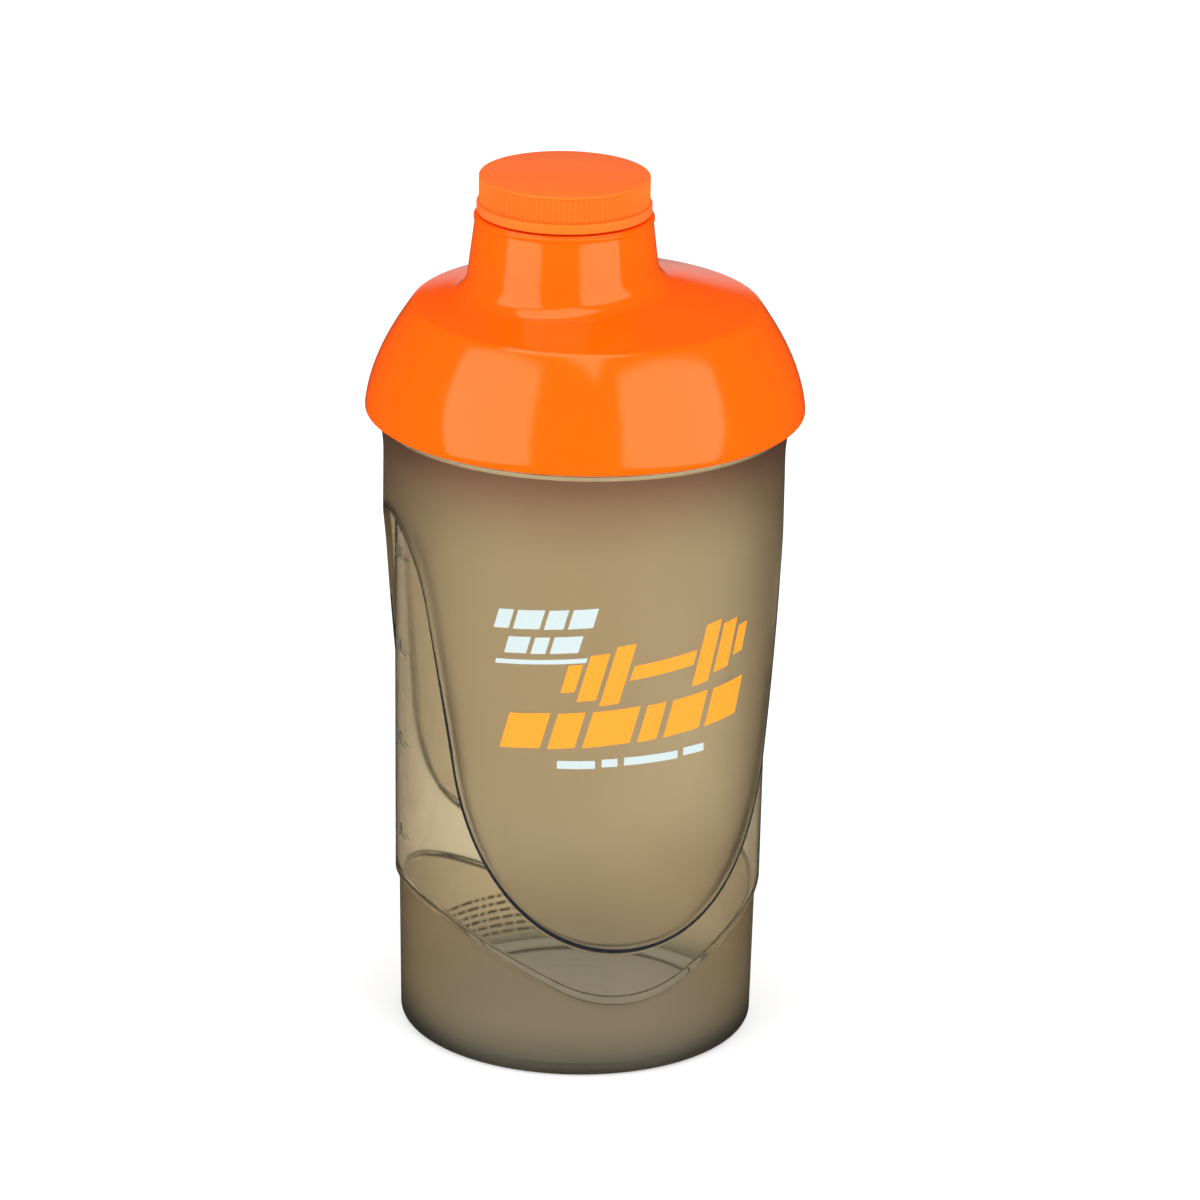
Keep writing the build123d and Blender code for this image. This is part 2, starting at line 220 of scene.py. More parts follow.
class LidSettings(bpy.types.PropertyGroup):
    """Colours of the lid, its seals and the strainer."""

    colour: FloatVectorProperty(
        name="Lid colour", description="Colour of the glossy lid",
        default=(1.0, 0.105, 0.001), size=3, min=0, max=1, subtype="COLOR")
    gloss: FloatProperty(
        name="Lid roughness", description="Roughness of the lid's polished face",
        default=0.12, min=0.02, max=0.6, subtype="FACTOR")
    gloss_tint: FloatVectorProperty(
        name="Gloss tint", description="Tint of the lid's reflections",
        default=(1.0, 0.92, 0.55), size=3, min=0, max=1, subtype="COLOR")
    strainer_colour: FloatVectorProperty(
        name="Strainer colour", description="Colour of the strainer",
        default=(1.0, 0.19, 0.01), size=3, min=0, max=1, subtype="COLOR")
    seal_colour: FloatVectorProperty(
        name="Seal colour", description="Colour of the milky seal ring",
        default=(0.80, 0.80, 0.77), size=3, min=0, max=1, subtype="COLOR")
    liner_colour: FloatVectorProperty(
        name="Liner colour", description="Colour of the cap's foamed liner",
        default=(0.88, 0.88, 0.86), size=3, min=0, max=1, subtype="COLOR")


class CapSettings(bpy.types.PropertyGroup):
    """Sizes and colour of the spout cap."""

    colour: FloatVectorProperty(
        name="Cap colour", description="Colour of the matte cap",
        default=(1.0, 0.135, 0.010), size=3, min=0, max=1, subtype="COLOR")
    gloss_tint: FloatVectorProperty(
        name="Gloss tint", description="Tint of the cap's reflections",
        default=(1.0, 0.75, 0.25), size=3, min=0, max=1, subtype="COLOR")
    ribs: IntProperty(
        name="Ribs", description="Number of upright grip ribs", default=96, min=24, max=160)
    matte: FloatProperty(
        name="Cap roughness", description="Roughness of the cap's grained face",
        default=0.48, min=0.2, max=0.9, subtype="FACTOR")


class StageSettings(bpy.types.PropertyGroup):
    """Camera, lamps and floor."""

    camera_distance: FloatProperty(
        name="Camera distance", description="Level distance from the cup's axis to the camera",
        default=1.402, min=0.5, max=4, unit="LENGTH")
    camera_height: FloatProperty(
        name="Camera height", description="Height of the camera over the floor",
        default=0.603, min=0, max=2, unit="LENGTH")
    camera_azimuth: FloatProperty(
        name="Camera azimuth", description="Angle of the camera round the cup from its front",
        default=math.radians(-15), subtype="ANGLE")
    camera_pitch: FloatProperty(
        name="Camera pitch", description="How far the camera looks down",
        default=math.radians(19.68), subtype="ANGLE")
    camera_yaw: FloatProperty(
        name="Camera yaw", description="How far the camera looks past the cup's axis",
        default=math.radians(0.17), subtype="ANGLE")
    camera_roll: FloatProperty(
        name="Camera roll", description="Turn of the camera about its own axis",
        default=math.radians(1.03), subtype="ANGLE")
    lens: FloatProperty(
        name="Lens", description="Focal length in millimetres", default=194.5, min=50, max=400)
    box_power: FloatProperty(
        name="Softbox power", description="Power of the softboxes for each square metre, in watts",
        default=7.5, min=0, max=200)
    surround: FloatProperty(
        name="Surround", description="Brightness of the pale room", default=0.95, min=0, max=3)
    floor_glow: FloatProperty(
        name="Floor glow", description="How much the floor shines, as a lit table does",
        default=0.35, min=0, max=1)
    floor_colour: FloatVectorProperty(
        name="Floor colour", description="Colour of the floor",
        default=(0.72, 0.72, 0.72), size=3, min=0, max=1, subtype="COLOR")


SETTINGS = {
    "shaker_cup": CupSettings,
    "shaker_prints": PrintSettings,
    "shaker_lid": LidSettings,
    "shaker_cap": CapSettings,
    "shaker_stage": StageSettings,
}


# ---------------------------------------------------------------- mesh helpers
def ease(t):
    """Smooth rise from 0 to 1 as t goes from 0 to 1."""
    t = np.clip(t, 0.0, 1.0)
    return t * t * (3 - 2 * t)


def bezier(points, count):
    """Count points of the cubic curve that the four points control, both ends included."""
    a, b, c, d = (np.array(p, float) for p in points)
    t = np.linspace(0, 1, count)[:, None]
    return (1 - t) ** 3 * a + 3 * (1 - t) ** 2 * t * b + 3 * (1 - t) * t * t * c + t ** 3 * d


def rounded(corners, steps=5):
    """Profile through the corners (radius, z, rounding), each rounded by an arc of that radius."""
    found = []
    for i, (x, z, size) in enumerate(corners):
        here = np.array((x, z))
        if size <= 0 or i in (0, len(corners) - 1):
            found.append(here)
            continue
        before = np.array(corners[i - 1][:2]) - here
        after = np.array(corners[i + 1][:2]) - here
        before /= np.linalg.norm(before)
        after /= np.linalg.norm(after)
        half = math.acos(np.clip(before @ after, -1, 1)) / 2
        start = here + before * size / math.tan(half)
        middle = here + (before + after) / np.linalg.norm(before + after) * size / math.sin(half)
        end = here + after * size / math.tan(half)
        for t in np.linspace(0, 1, steps + 1):
            arm = (start - middle) * (1 - t) + (end - middle) * t
            found.append(middle + arm / np.linalg.norm(arm) * size)
    return np.array(found)


def add_mesh(name, verts, faces, materials, indices=None, sharp=35):
    """Object with this mesh, smooth except over edges sharper than the angle."""
    mesh = bpy.data.meshes.new(name)
    mesh.from_pydata([tuple(v) for v in verts], [], faces)
    for material in materials:
        mesh.materials.append(material)
    if indices is not None:
        mesh.polygons.foreach_set("material_index", np.array(indices, np.int32))
    mesh.validate(clean_customdata=False)
    mesh.shade_smooth()
    mesh.set_sharp_from_angle(angle=math.radians(sharp))
    mesh.update()
    piece = bpy.data.objects.new(name, mesh)
    bpy.context.scene.collection.objects.link(piece)
    return piece


def ring_faces(rows, columns, first=0, closed=False, flip=False):
    """Quads between neighbouring rings of points; the last ring joins the first where closed."""
    faces = []
    for row in range(rows if closed else rows - 1):
        low = first + row * columns
        high = first + (row + 1) % rows * columns
        for column in range(columns):
            after = (column + 1) % columns
            quad = (low + column, low + after, high + after, high + column)
            faces.append(quad[::-1] if flip else quad)
    return faces


def turned(profile, columns, centre_x=0.0, closed=True):
    """Points and faces of a profile turned about an upright axis; an open profile ends on the axis."""
    angle = np.linspace(0, 2 * math.pi, columns, endpoint=False)
    rings = profile if closed else profile[1:-1]
    verts = np.concatenate([
        np.stack([centre_x + r * np.cos(angle), r * np.sin(angle), np.full(columns, z)], -1)
        for r, z in rings])
    faces = ring_faces(len(rings), columns, closed=closed)
    if not closed:
        low, high = len(verts), len(verts) + 1
        last = (len(rings) - 1) * columns
        verts = np.concatenate([verts, [(centre_x, 0, profile[0][1]), (centre_x, 0, profile[-1][1])]])
        for column in range(columns):
            after = (column + 1) % columns
            faces.append((low, after, column))
            faces.append((high, last + column, last + after))
    return verts, faces


def ridge(radius, inward, thread, start_z, centre_x):
    """Points and faces of one closed helical ridge, which runs out to nothing at both ends."""
    depth, root, crest, pitch = thread
    sign = -1 if inward else 1
    steps = 150
    embed = 0.25 * MM
    verts = []
    for i in range(steps + 1):
        share = i / steps
        angle = share * THREAD_TURNS * 2 * math.pi
        fade = float(ease(min(share, 1 - share) / 0.035))
        middle = start_z + share * THREAD_TURNS * pitch
        out = radius + sign * depth * fade
        wall = radius - sign * embed
        for r, z in ((wall, -root / 2), (out, -crest / 2 * fade), (out, crest / 2 * fade), (wall, root / 2)):
            verts.append((centre_x + r * math.cos(angle), r * math.sin(angle), middle + z))
    faces = []
    for i in range(steps):
        for j in range(4):
            quad = (4 * i + j, 4 * i + (j + 1) % 4, 4 * i + 4 + (j + 1) % 4, 4 * i + 4 + j)
            faces.append(quad if inward else quad[::-1])
    ends = [(3, 2, 1, 0), (4 * steps, 4 * steps + 1, 4 * steps + 2, 4 * steps + 3)]
    faces += [e if inward else e[::-1] for e in ends]
    return np.array(verts), faces


def joined(parts):
    """One list of points and one of faces from several closed parts."""
    verts, faces, base = [], [], 0
    for part_verts, part_faces in parts:
        verts.append(np.asarray(part_verts))
        faces += [tuple(base + i for i in face) for face in part_faces]
        base += len(part_verts)
    return np.concatenate(verts), faces


# ---------------------------------------------------------------- materials
def socket(group, name, kind, direction, default=None):
    """Named socket of a node group."""
    made = group.interface.new_socket(name=name, in_out=direction, socket_type=kind)
    if default is not None:
        made.default_value = default
    return made


def plastic_skin_group():
    """Moulded plastic's skin: colour drift, roughness drift and the height of its grain and flow."""
    name = "Moulded_skin"
    if name in bpy.data.node_groups:
        return bpy.data.node_groups[name]
    group = bpy.data.node_groups.new(name, "ShaderNodeTree")
    socket(group, "Colour", "NodeSocketColor", "INPUT", (0.8, 0.8, 0.8, 1))
    socket(group, "Drift", "NodeSocketFloat", "INPUT", 0.05)
    socket(group, "Roughness", "NodeSocketFloat", "INPUT", 0.3)
    socket(group, "Roughness drift", "NodeSocketFloat", "INPUT", 0.05)
    socket(group, "Grain scale", "NodeSocketFloat", "INPUT", 3000.0)
    socket(group, "Grain", "NodeSocketFloat", "INPUT", 0.5)
    socket(group, "Flow", "NodeSocketFloat", "INPUT", 0.5)
    socket(group, "Colour", "NodeSocketColor", "OUTPUT")
    socket(group, "Roughness", "NodeSocketFloat", "OUTPUT")
    socket(group, "Height", "NodeSocketFloat", "OUTPUT")
    nodes, link = group.nodes, group.links.new
    inputs, outputs = nodes.new("NodeGroupInput"), nodes.new("NodeGroupOutput")
    place = nodes.new("ShaderNodeTexCoord")

    def noise(scale, detail, source=None):
        made = nodes.new("ShaderNodeTexNoise")
        made.inputs["Detail"].default_value = detail
        if source is None:
            made.inputs["Scale"].default_value = scale
        else:
            link(source, made.inputs["Scale"])
        link(place.outputs["Object"], made.inputs["Vector"])
        return made.outputs["Fac"]

    def maths(kind, first, second):
        made = nodes.new("ShaderNodeMath")
        made.operation = kind
        for i, value in enumerate((first, second)):
            if isinstance(value, (int, float)):
                made.inputs[i].default_value = value
            else:
                link(value, made.inputs[i])
        return made.outputs[0]

    cloud = noise(45.0, 3.0)
    speck = noise(900.0, 2.0)
    flow = noise(110.0, 1.0)
    grain = noise(0, 2.0, inputs.outputs["Grain scale"])
    centred = maths("SUBTRACT", cloud, 0.5)
    darken = maths("SUBTRACT", 1.0, maths("MULTIPLY", centred, inputs.outputs["Drift"]))
    tone = nodes.new("ShaderNodeVectorMath")
    tone.operation = "SCALE"
    link(inputs.outputs["Colour"], tone.inputs[0])
    link(darken, tone.inputs["Scale"])
    link(tone.outputs[0], outputs.inputs["Colour"])
    spread = maths("ADD", centred, maths("MULTIPLY", maths("SUBTRACT", speck, 0.5), 0.6))
    rough = maths("ADD", inputs.outputs["Roughness"],
                  maths("MULTIPLY", spread, inputs.outputs["Roughness drift"]))
    link(maths("MAXIMUM", rough, 0.02), outputs.inputs["Roughness"])
    height = maths("ADD", maths("MULTIPLY", grain, inputs.outputs["Grain"]),
                   maths("MULTIPLY", flow, inputs.outputs["Flow"]))
    link(height, outputs.inputs["Height"])
    return group


def plastic(name, colour, roughness, drift=0.06, rough_drift=0.06, grain_scale=3000.0, grain=0.5,
            flow=0.0, bump=0.02, transmission=0.0, ior=1.49, subsurface=0.0, rim=None, rim_power=2.0,
            shades=()):
    """Material of moulded plastic over the shared skin group.

    rim is the colour where the face is seen edge on, partly a painted edge shade; each shade is
    (colour, start z, end z) of a painted shade that grows from one height to the other.
    """
    material = bpy.data.materials.new(name)
    material.use_nodes = True
    material.diffuse_color = (*colour, 1)
    nodes, link = material.node_tree.nodes, material.node_tree.links.new
    shader = nodes["Principled BSDF"]
    skin = nodes.new("ShaderNodeGroup")
    skin.node_tree = plastic_skin_group()
    skin.inputs["Colour"].default_value = (*colour, 1)
    skin.inputs["Drift"].default_value = drift
    skin.inputs["Roughness"].default_value = roughness
    skin.inputs["Roughness drift"].default_value = rough_drift
    skin.inputs["Grain scale"].default_value = grain_scale
    skin.inputs["Grain"].default_value = grain
    skin.inputs["Flow"].default_value = flow
    relief = nodes.new("ShaderNodeBump")
    relief.inputs["Strength"].default_value = 1.0
    relief.inputs["Distance"].default_value = bump * MM
    tone = skin.outputs["Colour"]

    def tinted(share, colour):
        mix = nodes.new("ShaderNodeMix")
        mix.data_type = "RGBA"
        mix.inputs["B"].default_value = (*colour, 1)
        link(share, mix.inputs["Factor"])
        link(tone, mix.inputs["A"])
        return mix.outputs["Result"]

    # painted shades, each growing from one height to the other
    for colour, start_z, end_z in shades:
        place = nodes.new("ShaderNodeTexCoord")
        height = nodes.new("ShaderNodeSeparateXYZ")
        growing = nodes.new("ShaderNodeMapRange")
        growing.interpolation_type = "SMOOTHSTEP"
        growing.inputs["From Min"].default_value = start_z
        growing.inputs["From Max"].default_value = end_z
        link(place.outputs["Object"], height.inputs[0])
        link(height.outputs["Z"], growing.inputs["Value"])
        tone = tinted(growing.outputs["Result"], colour)
    # darker where seen edge on: longer path through the tinted wall, partly painted edge shade
    if rim is not None:
        facing = nodes.new("ShaderNodeLayerWeight")
        facing.inputs["Blend"].default_value = 0.5
        steep = nodes.new("ShaderNodeMath")
        steep.operation = "POWER"
        steep.inputs[1].default_value = rim_power
        link(facing.outputs["Facing"], steep.inputs[0])
        tone = tinted(steep.outputs[0], rim)
    link(tone, shader.inputs["Base Color"])
    link(skin.outputs["Roughness"], shader.inputs["Roughness"])
    link(skin.outputs["Height"], relief.inputs["Height"])
    link(relief.outputs["Normal"], shader.inputs["Normal"])
    shader.inputs["Transmission Weight"].default_value = transmission
    shader.inputs["IOR"].default_value = ior
    shader.inputs["Subsurface Weight"].default_value = subsurface
    shader.inputs["Subsurface Scale"].default_value = 2 * MM
    return material


# ---------------------------------------------------------------- the cup's form
def foot_radius(z):
    return FOOT_RADIUS + BAND_FLARE * z


def window_radius(z):
    return WINDOW_RADIUS + WINDOW_FLARE * (z - WAVE_LOW)


def panel_line():
    """Radius of the raised panels against height, outside."""
    start = TONGUE_LOW - 6.0 * MM
    low = bezier([(PANEL_RADIUS_LOW, start), (PANEL_RADIUS_LOW + 1.9 * MM, start + 24.0 * MM),
                  (PANEL_RADIUS - 0.05 * MM, PANEL_FULL_Z - 32.0 * MM), (PANEL_RADIUS, PANEL_FULL_Z)], 80)
    return low[:, 1], low[:, 0]


PANEL_HEIGHTS, PANEL_RADII = panel_line()


def panel_radius(z):
    return np.interp(z, PANEL_HEIGHTS, PANEL_RADII)


def wave_z(angle, inset):
    """Height of the foot band's wavy edge at an angle round the cup from its front."""
    low = WAVE_LOW + inset
    x = np.abs(np.sin(angle)) * (WINDOW_RADIUS - inset)
    arc_x = WAVE_ARC_RADIUS * math.sin(WAVE_RISE)
    arc_z = WAVE_ARC_RADIUS * (1 - math.cos(WAVE_RISE))
    curved = WAVE_ARC_RADIUS - np.sqrt(np.maximum(WAVE_ARC_RADIUS ** 2 - np.minimum(x, arc_x) ** 2, 0))
    return low + np.where(x < arc_x, curved, arc_z + (x - arc_x) * math.tan(WAVE_RISE))


def panel_edge(inset):
    """Angle from the front and height of a panel's edge, from the tongue's tip up to the window's top."""
    low = TONGUE_LOW + inset
    side = TONGUE_HALF_WIDTH - inset
    tongue = bezier([(0, low), (TONGUE_HALF_WIDTH / 2, low),
                     (side - TONGUE_LEAN_DOWN * TONGUE_LEAN, TONGUE_SIDE_Z - TONGUE_LEAN_DOWN),
                     (side, TONGUE_SIDE_Z)], 400)
    start = np.array((side + (FLARE_Z - TONGUE_SIDE_Z) * TONGUE_LEAN, FLARE_Z))
    rise = np.linspace((side, TONGUE_SIDE_Z), start, 200)[1:]
    end = np.array((PANEL_RADIUS - inset + FLARE_OVERRUN,
                    WINDOW_TOP + inset + FLARE_OVERRUN / FLARE_TOP_LEAN))
    along = np.array((TONGUE_LEAN, 1.0)) / math.hypot(TONGUE_LEAN, 1)
    across = np.array((along[1], -along[0]))
    radius = (end - start) @ (end - start) / (2 * across @ (end - start))
    middle = start + across * radius
    sweep = 2 * math.asin(np.linalg.norm(end - start) / (2 * radius))
    turn = np.linspace(0, sweep, 600)[1:, None]
    flare = middle + radius * (along * np.sin(turn) - across * np.cos(turn))
    line = np.concatenate([tongue, rise, flare])
    radii = (window_radius(line[:, 1]) + panel_radius(line[:, 1])) / 2 - inset
    share = line[:, 0] / radii
    keep = share < 1
    angle = np.arcsin(share[keep])
    top = np.interp(1.0, share, line[:, 1])
    return np.append(angle, math.pi / 2), np.append(line[keep, 1], top)


def cup_columns(per_quarter):
    """Angles round the cup, even along the panels' edges."""
    angle, height = panel_edge(0)
    step = np.hypot(np.diff(angle) * WINDOW_RADIUS, np.diff(height))
    length = np.concatenate([[0], np.cumsum(step)]) + angle * WINDOW_RADIUS * 0.8
    quarter = np.interp(np.linspace(0, length[-1], per_quarter, endpoint=False), length, angle)
    back = math.pi - np.append(quarter[1:], math.pi / 2)[::-1]
    half = np.concatenate([quarter, back])
    return np.concatenate([half, half + math.pi])


def fold(angle):
    """Angle from the nearer panel's middle, from 0 to a quarter turn."""
    turned_by = np.mod(angle, math.pi)
    return np.minimum(turned_by, math.pi - turned_by)


def cup_side_rows(angles, inset, ledge, step, low_z, high_z):
    """Rings of (radius, z) up the cup's side over ledge and step, and the zone of each ring."""
    quarter = fold(angles)
    edge_angle, edge_height = panel_edge(inset)
    edge = np.interp(quarter, edge_angle, edge_height)
    wave = wave_z(angles, inset)
    slope = np.interp(quarter, edge_angle, np.gradient(edge_height, edge_angle * WINDOW_RADIUS + 1e-12))
    reach = step * np.sqrt(1 + np.minimum(np.abs(slope), 9) ** 2)
    rows, zones = [], []

    def run(start, end, count, radius, zone, spread=lambda t: t):
        for i in range(count):
            t = spread(i / count)
            z = start + (end - start) * t
            rows.append((radius(z, t) - inset, z))
            zones.append(zone if isinstance(zone, str) else zone(i / count))

    one = np.ones_like(angles)
    run(low_z * one, wave - ledge, 12, lambda z, t: foot_radius(z), "foot")
    # the ledge's middle rows take the painted dark shade line
    run(wave - ledge, wave + ledge, 10,
        lambda z, t: foot_radius(z) + (window_radius(z) - foot_radius(z)) * ease(t),
        lambda t: "step" if LEDGE_DARK[0] < t < LEDGE_DARK[1] else "window")
    run(wave + ledge, edge - reach, 26, lambda z, t: window_radius(z), "window",
        spread=lambda t: float(0.5 * t + 0.5 * ease(t)))
    # the step's rows above DARK_FROM take the painted dark shade line
    run(edge - reach, edge + reach, 16,
        lambda z, t: window_radius(z) + (panel_radius(z) - window_radius(z)) * ease(t / STEP_SHARE),
        lambda t: "step" if t > DARK_FROM else "window")
    run(edge + reach, high_z * one, 26, lambda z, t: panel_radius(z), "panel")
    rows.append((panel_radius(high_z * one) - inset, high_z * one))
    zones.append("panel")
    return rows, zones


def slim_dark_border(indices, angles):
    """Material indices by row and column, with the panels' painted dark shade line thinning towards the
    windows' tops.
    """
    edge_angle, edge_height = panel_edge(0)
    height = np.interp(fold(angles), edge_angle, edge_height)
    dark = np.flatnonzero((indices == 2)[:, 0])
    upper = np.split(dark, np.flatnonzero(np.diff(dark) > 1) + 1)[-1]
    middle = upper[len(upper) // 2]
    half = np.interp(height, SLIM_HEIGHTS, (len(upper) / 2, 1))
    for row in upper:
        indices[row, abs(row - middle) > half] = 1 if row < middle else 0
    return indices


def cup_surface_radius(angle, z):
    """Radius of the cup's outside at one angle from the front and one height."""
    edge_angle, edge_height = panel_edge(0)
    edge = float(np.interp(fold(angle), edge_angle, edge_height))
    wave = float(wave_z(angle, 0))
    if z > edge:
        return float(panel_radius(z))
    return float(window_radius(z)) if z > wave else float(foot_radius(z))


def build_cup(settings):
    """The cup's closed shell with its mouth thread."""
    angles = cup_columns(104)
    count = len(angles)
    one = np.ones(count)
    recess_radius = FOOT_RADIUS - FOOT_ROUND - FOOT_RING
    under = rounded([
        (0, FOOT_RECESS, 0), (recess_radius, FOOT_RECESS, 0.3 * MM), (recess_radius, 0, 0.3 * MM),
        (FOOT_RADIUS, 0, FOOT_ROUND), (foot_radius(3 * MM), 3 * MM, 0)], 8)[1:-1]
    rings = [(r * one, z * one) for r, z in under]
    zones = ["inside" if r < recess_radius + MM else "foot" for r, z in under]
    flare_z = COLLAR_TOP - COLLAR_FLARE
    side, side_zones = cup_side_rows(angles, 0, settings.ledge_width, settings.step_width, 3 * MM, flare_z)
    rings += side
    zones += side_zones
    flare_high = COLLAR_TOP - COLLAR_LIP - flare_z
    flare_out = COLLAR_RADIUS - PANEL_RADIUS
    bend = (flare_high ** 2 + flare_out ** 2) / (2 * flare_out)
    for z in np.linspace(0, flare_high, 12)[1:-1]:
        rings.append(((PANEL_RADIUS + bend - math.sqrt(bend ** 2 - z ** 2)) * one, (flare_z + z) * one))
        zones.append("panel")
    inner_mouth = PANEL_RADIUS - CUP_WALL
    mouth = rounded([
        (PANEL_RADIUS, flare_z, 0), (COLLAR_RADIUS, COLLAR_TOP - COLLAR_LIP, 0.2 * MM),
        (COLLAR_RADIUS, COLLAR_TOP - MOUTH_EDGE, 0.3 * MM), (MOUTH_RADIUS, COLLAR_TOP, 0.15 * MM),
        (MOUTH_RADIUS, CUP_TOP, MOUTH_EDGE), (inner_mouth, CUP_TOP, 0.3 * MM),
        (inner_mouth, CUP_TOP - 4 * MM, 0)])
    for r, z in mouth[1:]:
        rings.append((r * one, z * one))
        zones.append("mouth")
    inner, _ = cup_side_rows(angles, CUP_WALL, settings.ledge_width, settings.step_width, 4.6 * MM, 150 * MM)
    rings += inner[::-1]
    floor = rounded([(foot_radius(4 * MM) - CUP_WALL, 4.6 * MM, 0),
                     (foot_radius(2.6 * MM) - CUP_WALL, FLOOR_TOP, 1.9 * MM), (30 * MM, FLOOR_TOP, 0),
                     (15 * MM, FLOOR_TOP, 0), (0, FLOOR_TOP, 0)], 8)[1:-1]
    rings += [(r * one, z * one) for r, z in floor]
    zones += ["inside"] * (len(rings) - len(zones))
    verts = np.concatenate([
        np.stack([r * np.sin(angles), -r * np.cos(angles), z], -1) for r, z in rings])
    faces = ring_faces(len(rings), count)
    # slot 2 is the painted dark shade line of the steps and the ledge
    slots = {"foot": 0, "panel": 0, "window": 1, "mouth": 1, "step": 2, "inside": 3}
    indices = [slots[zone] for zone in zones[:-1] for _ in range(count)]
    indices = slim_dark_border(np.array(indices).reshape(-1, count), angles).ravel().tolist()
    centre, last = len(verts), (len(rings) - 1) * count
    verts = np.concatenate([verts, [(0, 0, FOOT_RECESS), (0, 0, FLOOR_TOP)]])
    for column in range(count):
        after = (column + 1) % count
        faces += [(centre, after, column), (centre + 1, last + column, last + after)]
        indices += [3, 3]
    thread_verts, thread_faces = ridge(
        MOUTH_RADIUS, False, LID_THREAD, LID_THREAD_Z + LID_THREAD[3] / 2, 0)
    verts, faces = joined([(verts, faces), (thread_verts, thread_faces)])
    indices += [1] * len(thread_faces)
    # painted shades: the lid's shadow on the wall under it and the shade at the foot's lower edge
    shades = ((settings.painted_lid_shadow, *LID_SHADE), (settings.painted_foot_shade, *FOOT_SHADE))
    frosted_smoke = plastic("Frosted_smoke", settings.smoke, settings.frost, drift=0.08, rough_drift=0.08,
                            grain_scale=2600.0, grain=0.6, bump=0.012, transmission=0.92,
                            rim=settings.edge_smoke_and_shade, rim_power=1.7, shades=shades)
    clear_smoke = plastic("Clear_smoke", settings.clear_smoke, 0.05, drift=0.04, rough_drift=0.03,
                          grain_scale=900.0, grain=0.05, flow=0.5, bump=0.012, transmission=1.0,
                          rim=settings.clear_edge_smoke_and_shade, rim_power=1.3)
    # painted dark shade line along the steps and the ledge: nearly black and barely clear
    painted_step_shade = plastic("Painted_step_shade", settings.painted_step_shade, 0.12, drift=0.04, rough_drift=0.05,
                         grain_scale=900.0, grain=0.05, flow=0.3, bump=0.01, transmission=0.25)
    painted_step_shade.node_tree.nodes["Principled BSDF"].inputs["Specular IOR Level"].default_value = 0.12
    inner_smoke = plastic("Inner_smoke", settings.inner_smoke, 0.05, drift=0.04, rough_drift=0.03,
                          grain_scale=900.0, grain=0.05, flow=0.5, bump=0.012, transmission=1.0)
    return add_mesh("Cup_shell", verts, faces, [frosted_smoke, clear_smoke, painted_step_shade, inner_smoke], indices,
                    sharp=60)


# ---------------------------------------------------------------- prints
BAR_SLANT = 0.28


def on_cup(s, z, out, middle):
    """Point on the cup's outside: s is measured round it from the middle angle, z is the height."""
    angle = middle + s / PANEL_RADIUS
    radius = cup_surface_radius(angle, z) + out
    return radius * math.sin(angle), -radius * math.cos(angle), z


def ink_strip(low_line, high_line, thickness, middle):
    """Closed slab of ink on the cup between two lines of (s, z) points."""
    low_line, high_line = np.array(low_line), np.array(high_line)
    rows = 1 + max(1, math.ceil(np.abs(high_line - low_line).max() / (1.4 * MM)))
    columns = len(low_line)
    grid = [low_line + (high_line - low_line) * t for t in np.linspace(0, 1, rows)]
    verts = [on_cup(s, z, thickness, middle) for row in grid for s, z in row]
    verts += [on_cup(s, z, -0.4 * thickness, middle) for row in grid for s, z in row]
    back = rows * columns
    faces = []
    for j in range(rows - 1):
        for i in range(columns - 1):
            quad = [j * columns + i, j * columns + i + 1, (j + 1) * columns + i + 1, (j + 1) * columns + i]
            faces += [tuple(quad), tuple(back + v for v in quad[::-1])]
    rim = list(range(columns)) + [j * columns + columns - 1 for j in range(1, rows)]
    rim += [(rows - 1) * columns + i for i in range(columns - 2, -1, -1)]
    rim += [j * columns for j in range(rows - 2, 0, -1)]
    for here, after in zip(rim, rim[1:] + rim[:1]):
        faces.append((here, back + here, back + after, after))
    return np.array(verts), faces


def slanted_bar(s, z, length, height, thickness, slant=BAR_SLANT, rise=0.0, middle=0.0):
    """Ink bar with slanted ends, starting at s with its foot at z and climbing by rise along it.

    s is measured along the foot of the row, so bars of one row keep their gaps at any height.
    """
    steps = max(2, int(length / (1.5 * MM)) + 1)
    low, high = [], []
    for t in np.linspace(0, 1, steps + 1):
        x = s + length * t
        low.append((x, z + rise * length * t))
        high.append((x + slant * height, z + rise * length * t + height))
    return ink_strip(low, high, thickness, middle)


def number(text, s, z, height, thickness, middle):
    """Ink digits on the cup, right-hand end at s and middle height at z."""
    curve = bpy.data.curves.new("Digits", "FONT")
    curve.body = text
    curve.size = height * 1.4
    curve.align_x = "RIGHT"
    curve.align_y = "CENTER"
    curve.extrude = thickness / 2
    holder = bpy.data.objects.new("Digits", curve)
    bpy.context.scene.collection.objects.link(holder)
    bpy.context.view_layer.update()
    mesh = bpy.data.meshes.new_from_object(holder)
    verts = [on_cup(s + v.co.x, z + v.co.y, v.co.z + thickness * 0.4, middle) for v in mesh.vertices]
    faces = [tuple(p.vertices) for p in mesh.polygons]
    bpy.data.objects.remove(holder)
    bpy.data.meshes.remove(mesh)
    bpy.data.curves.remove(curve)
    return np.array(verts), faces


def ink(name, colour, roughness=0.38):
    """Material of a print."""
    return plastic(name, colour, roughness, drift=0.10, rough_drift=0.10, grain_scale=1800.0, grain=0.4,
                   bump=0.01)


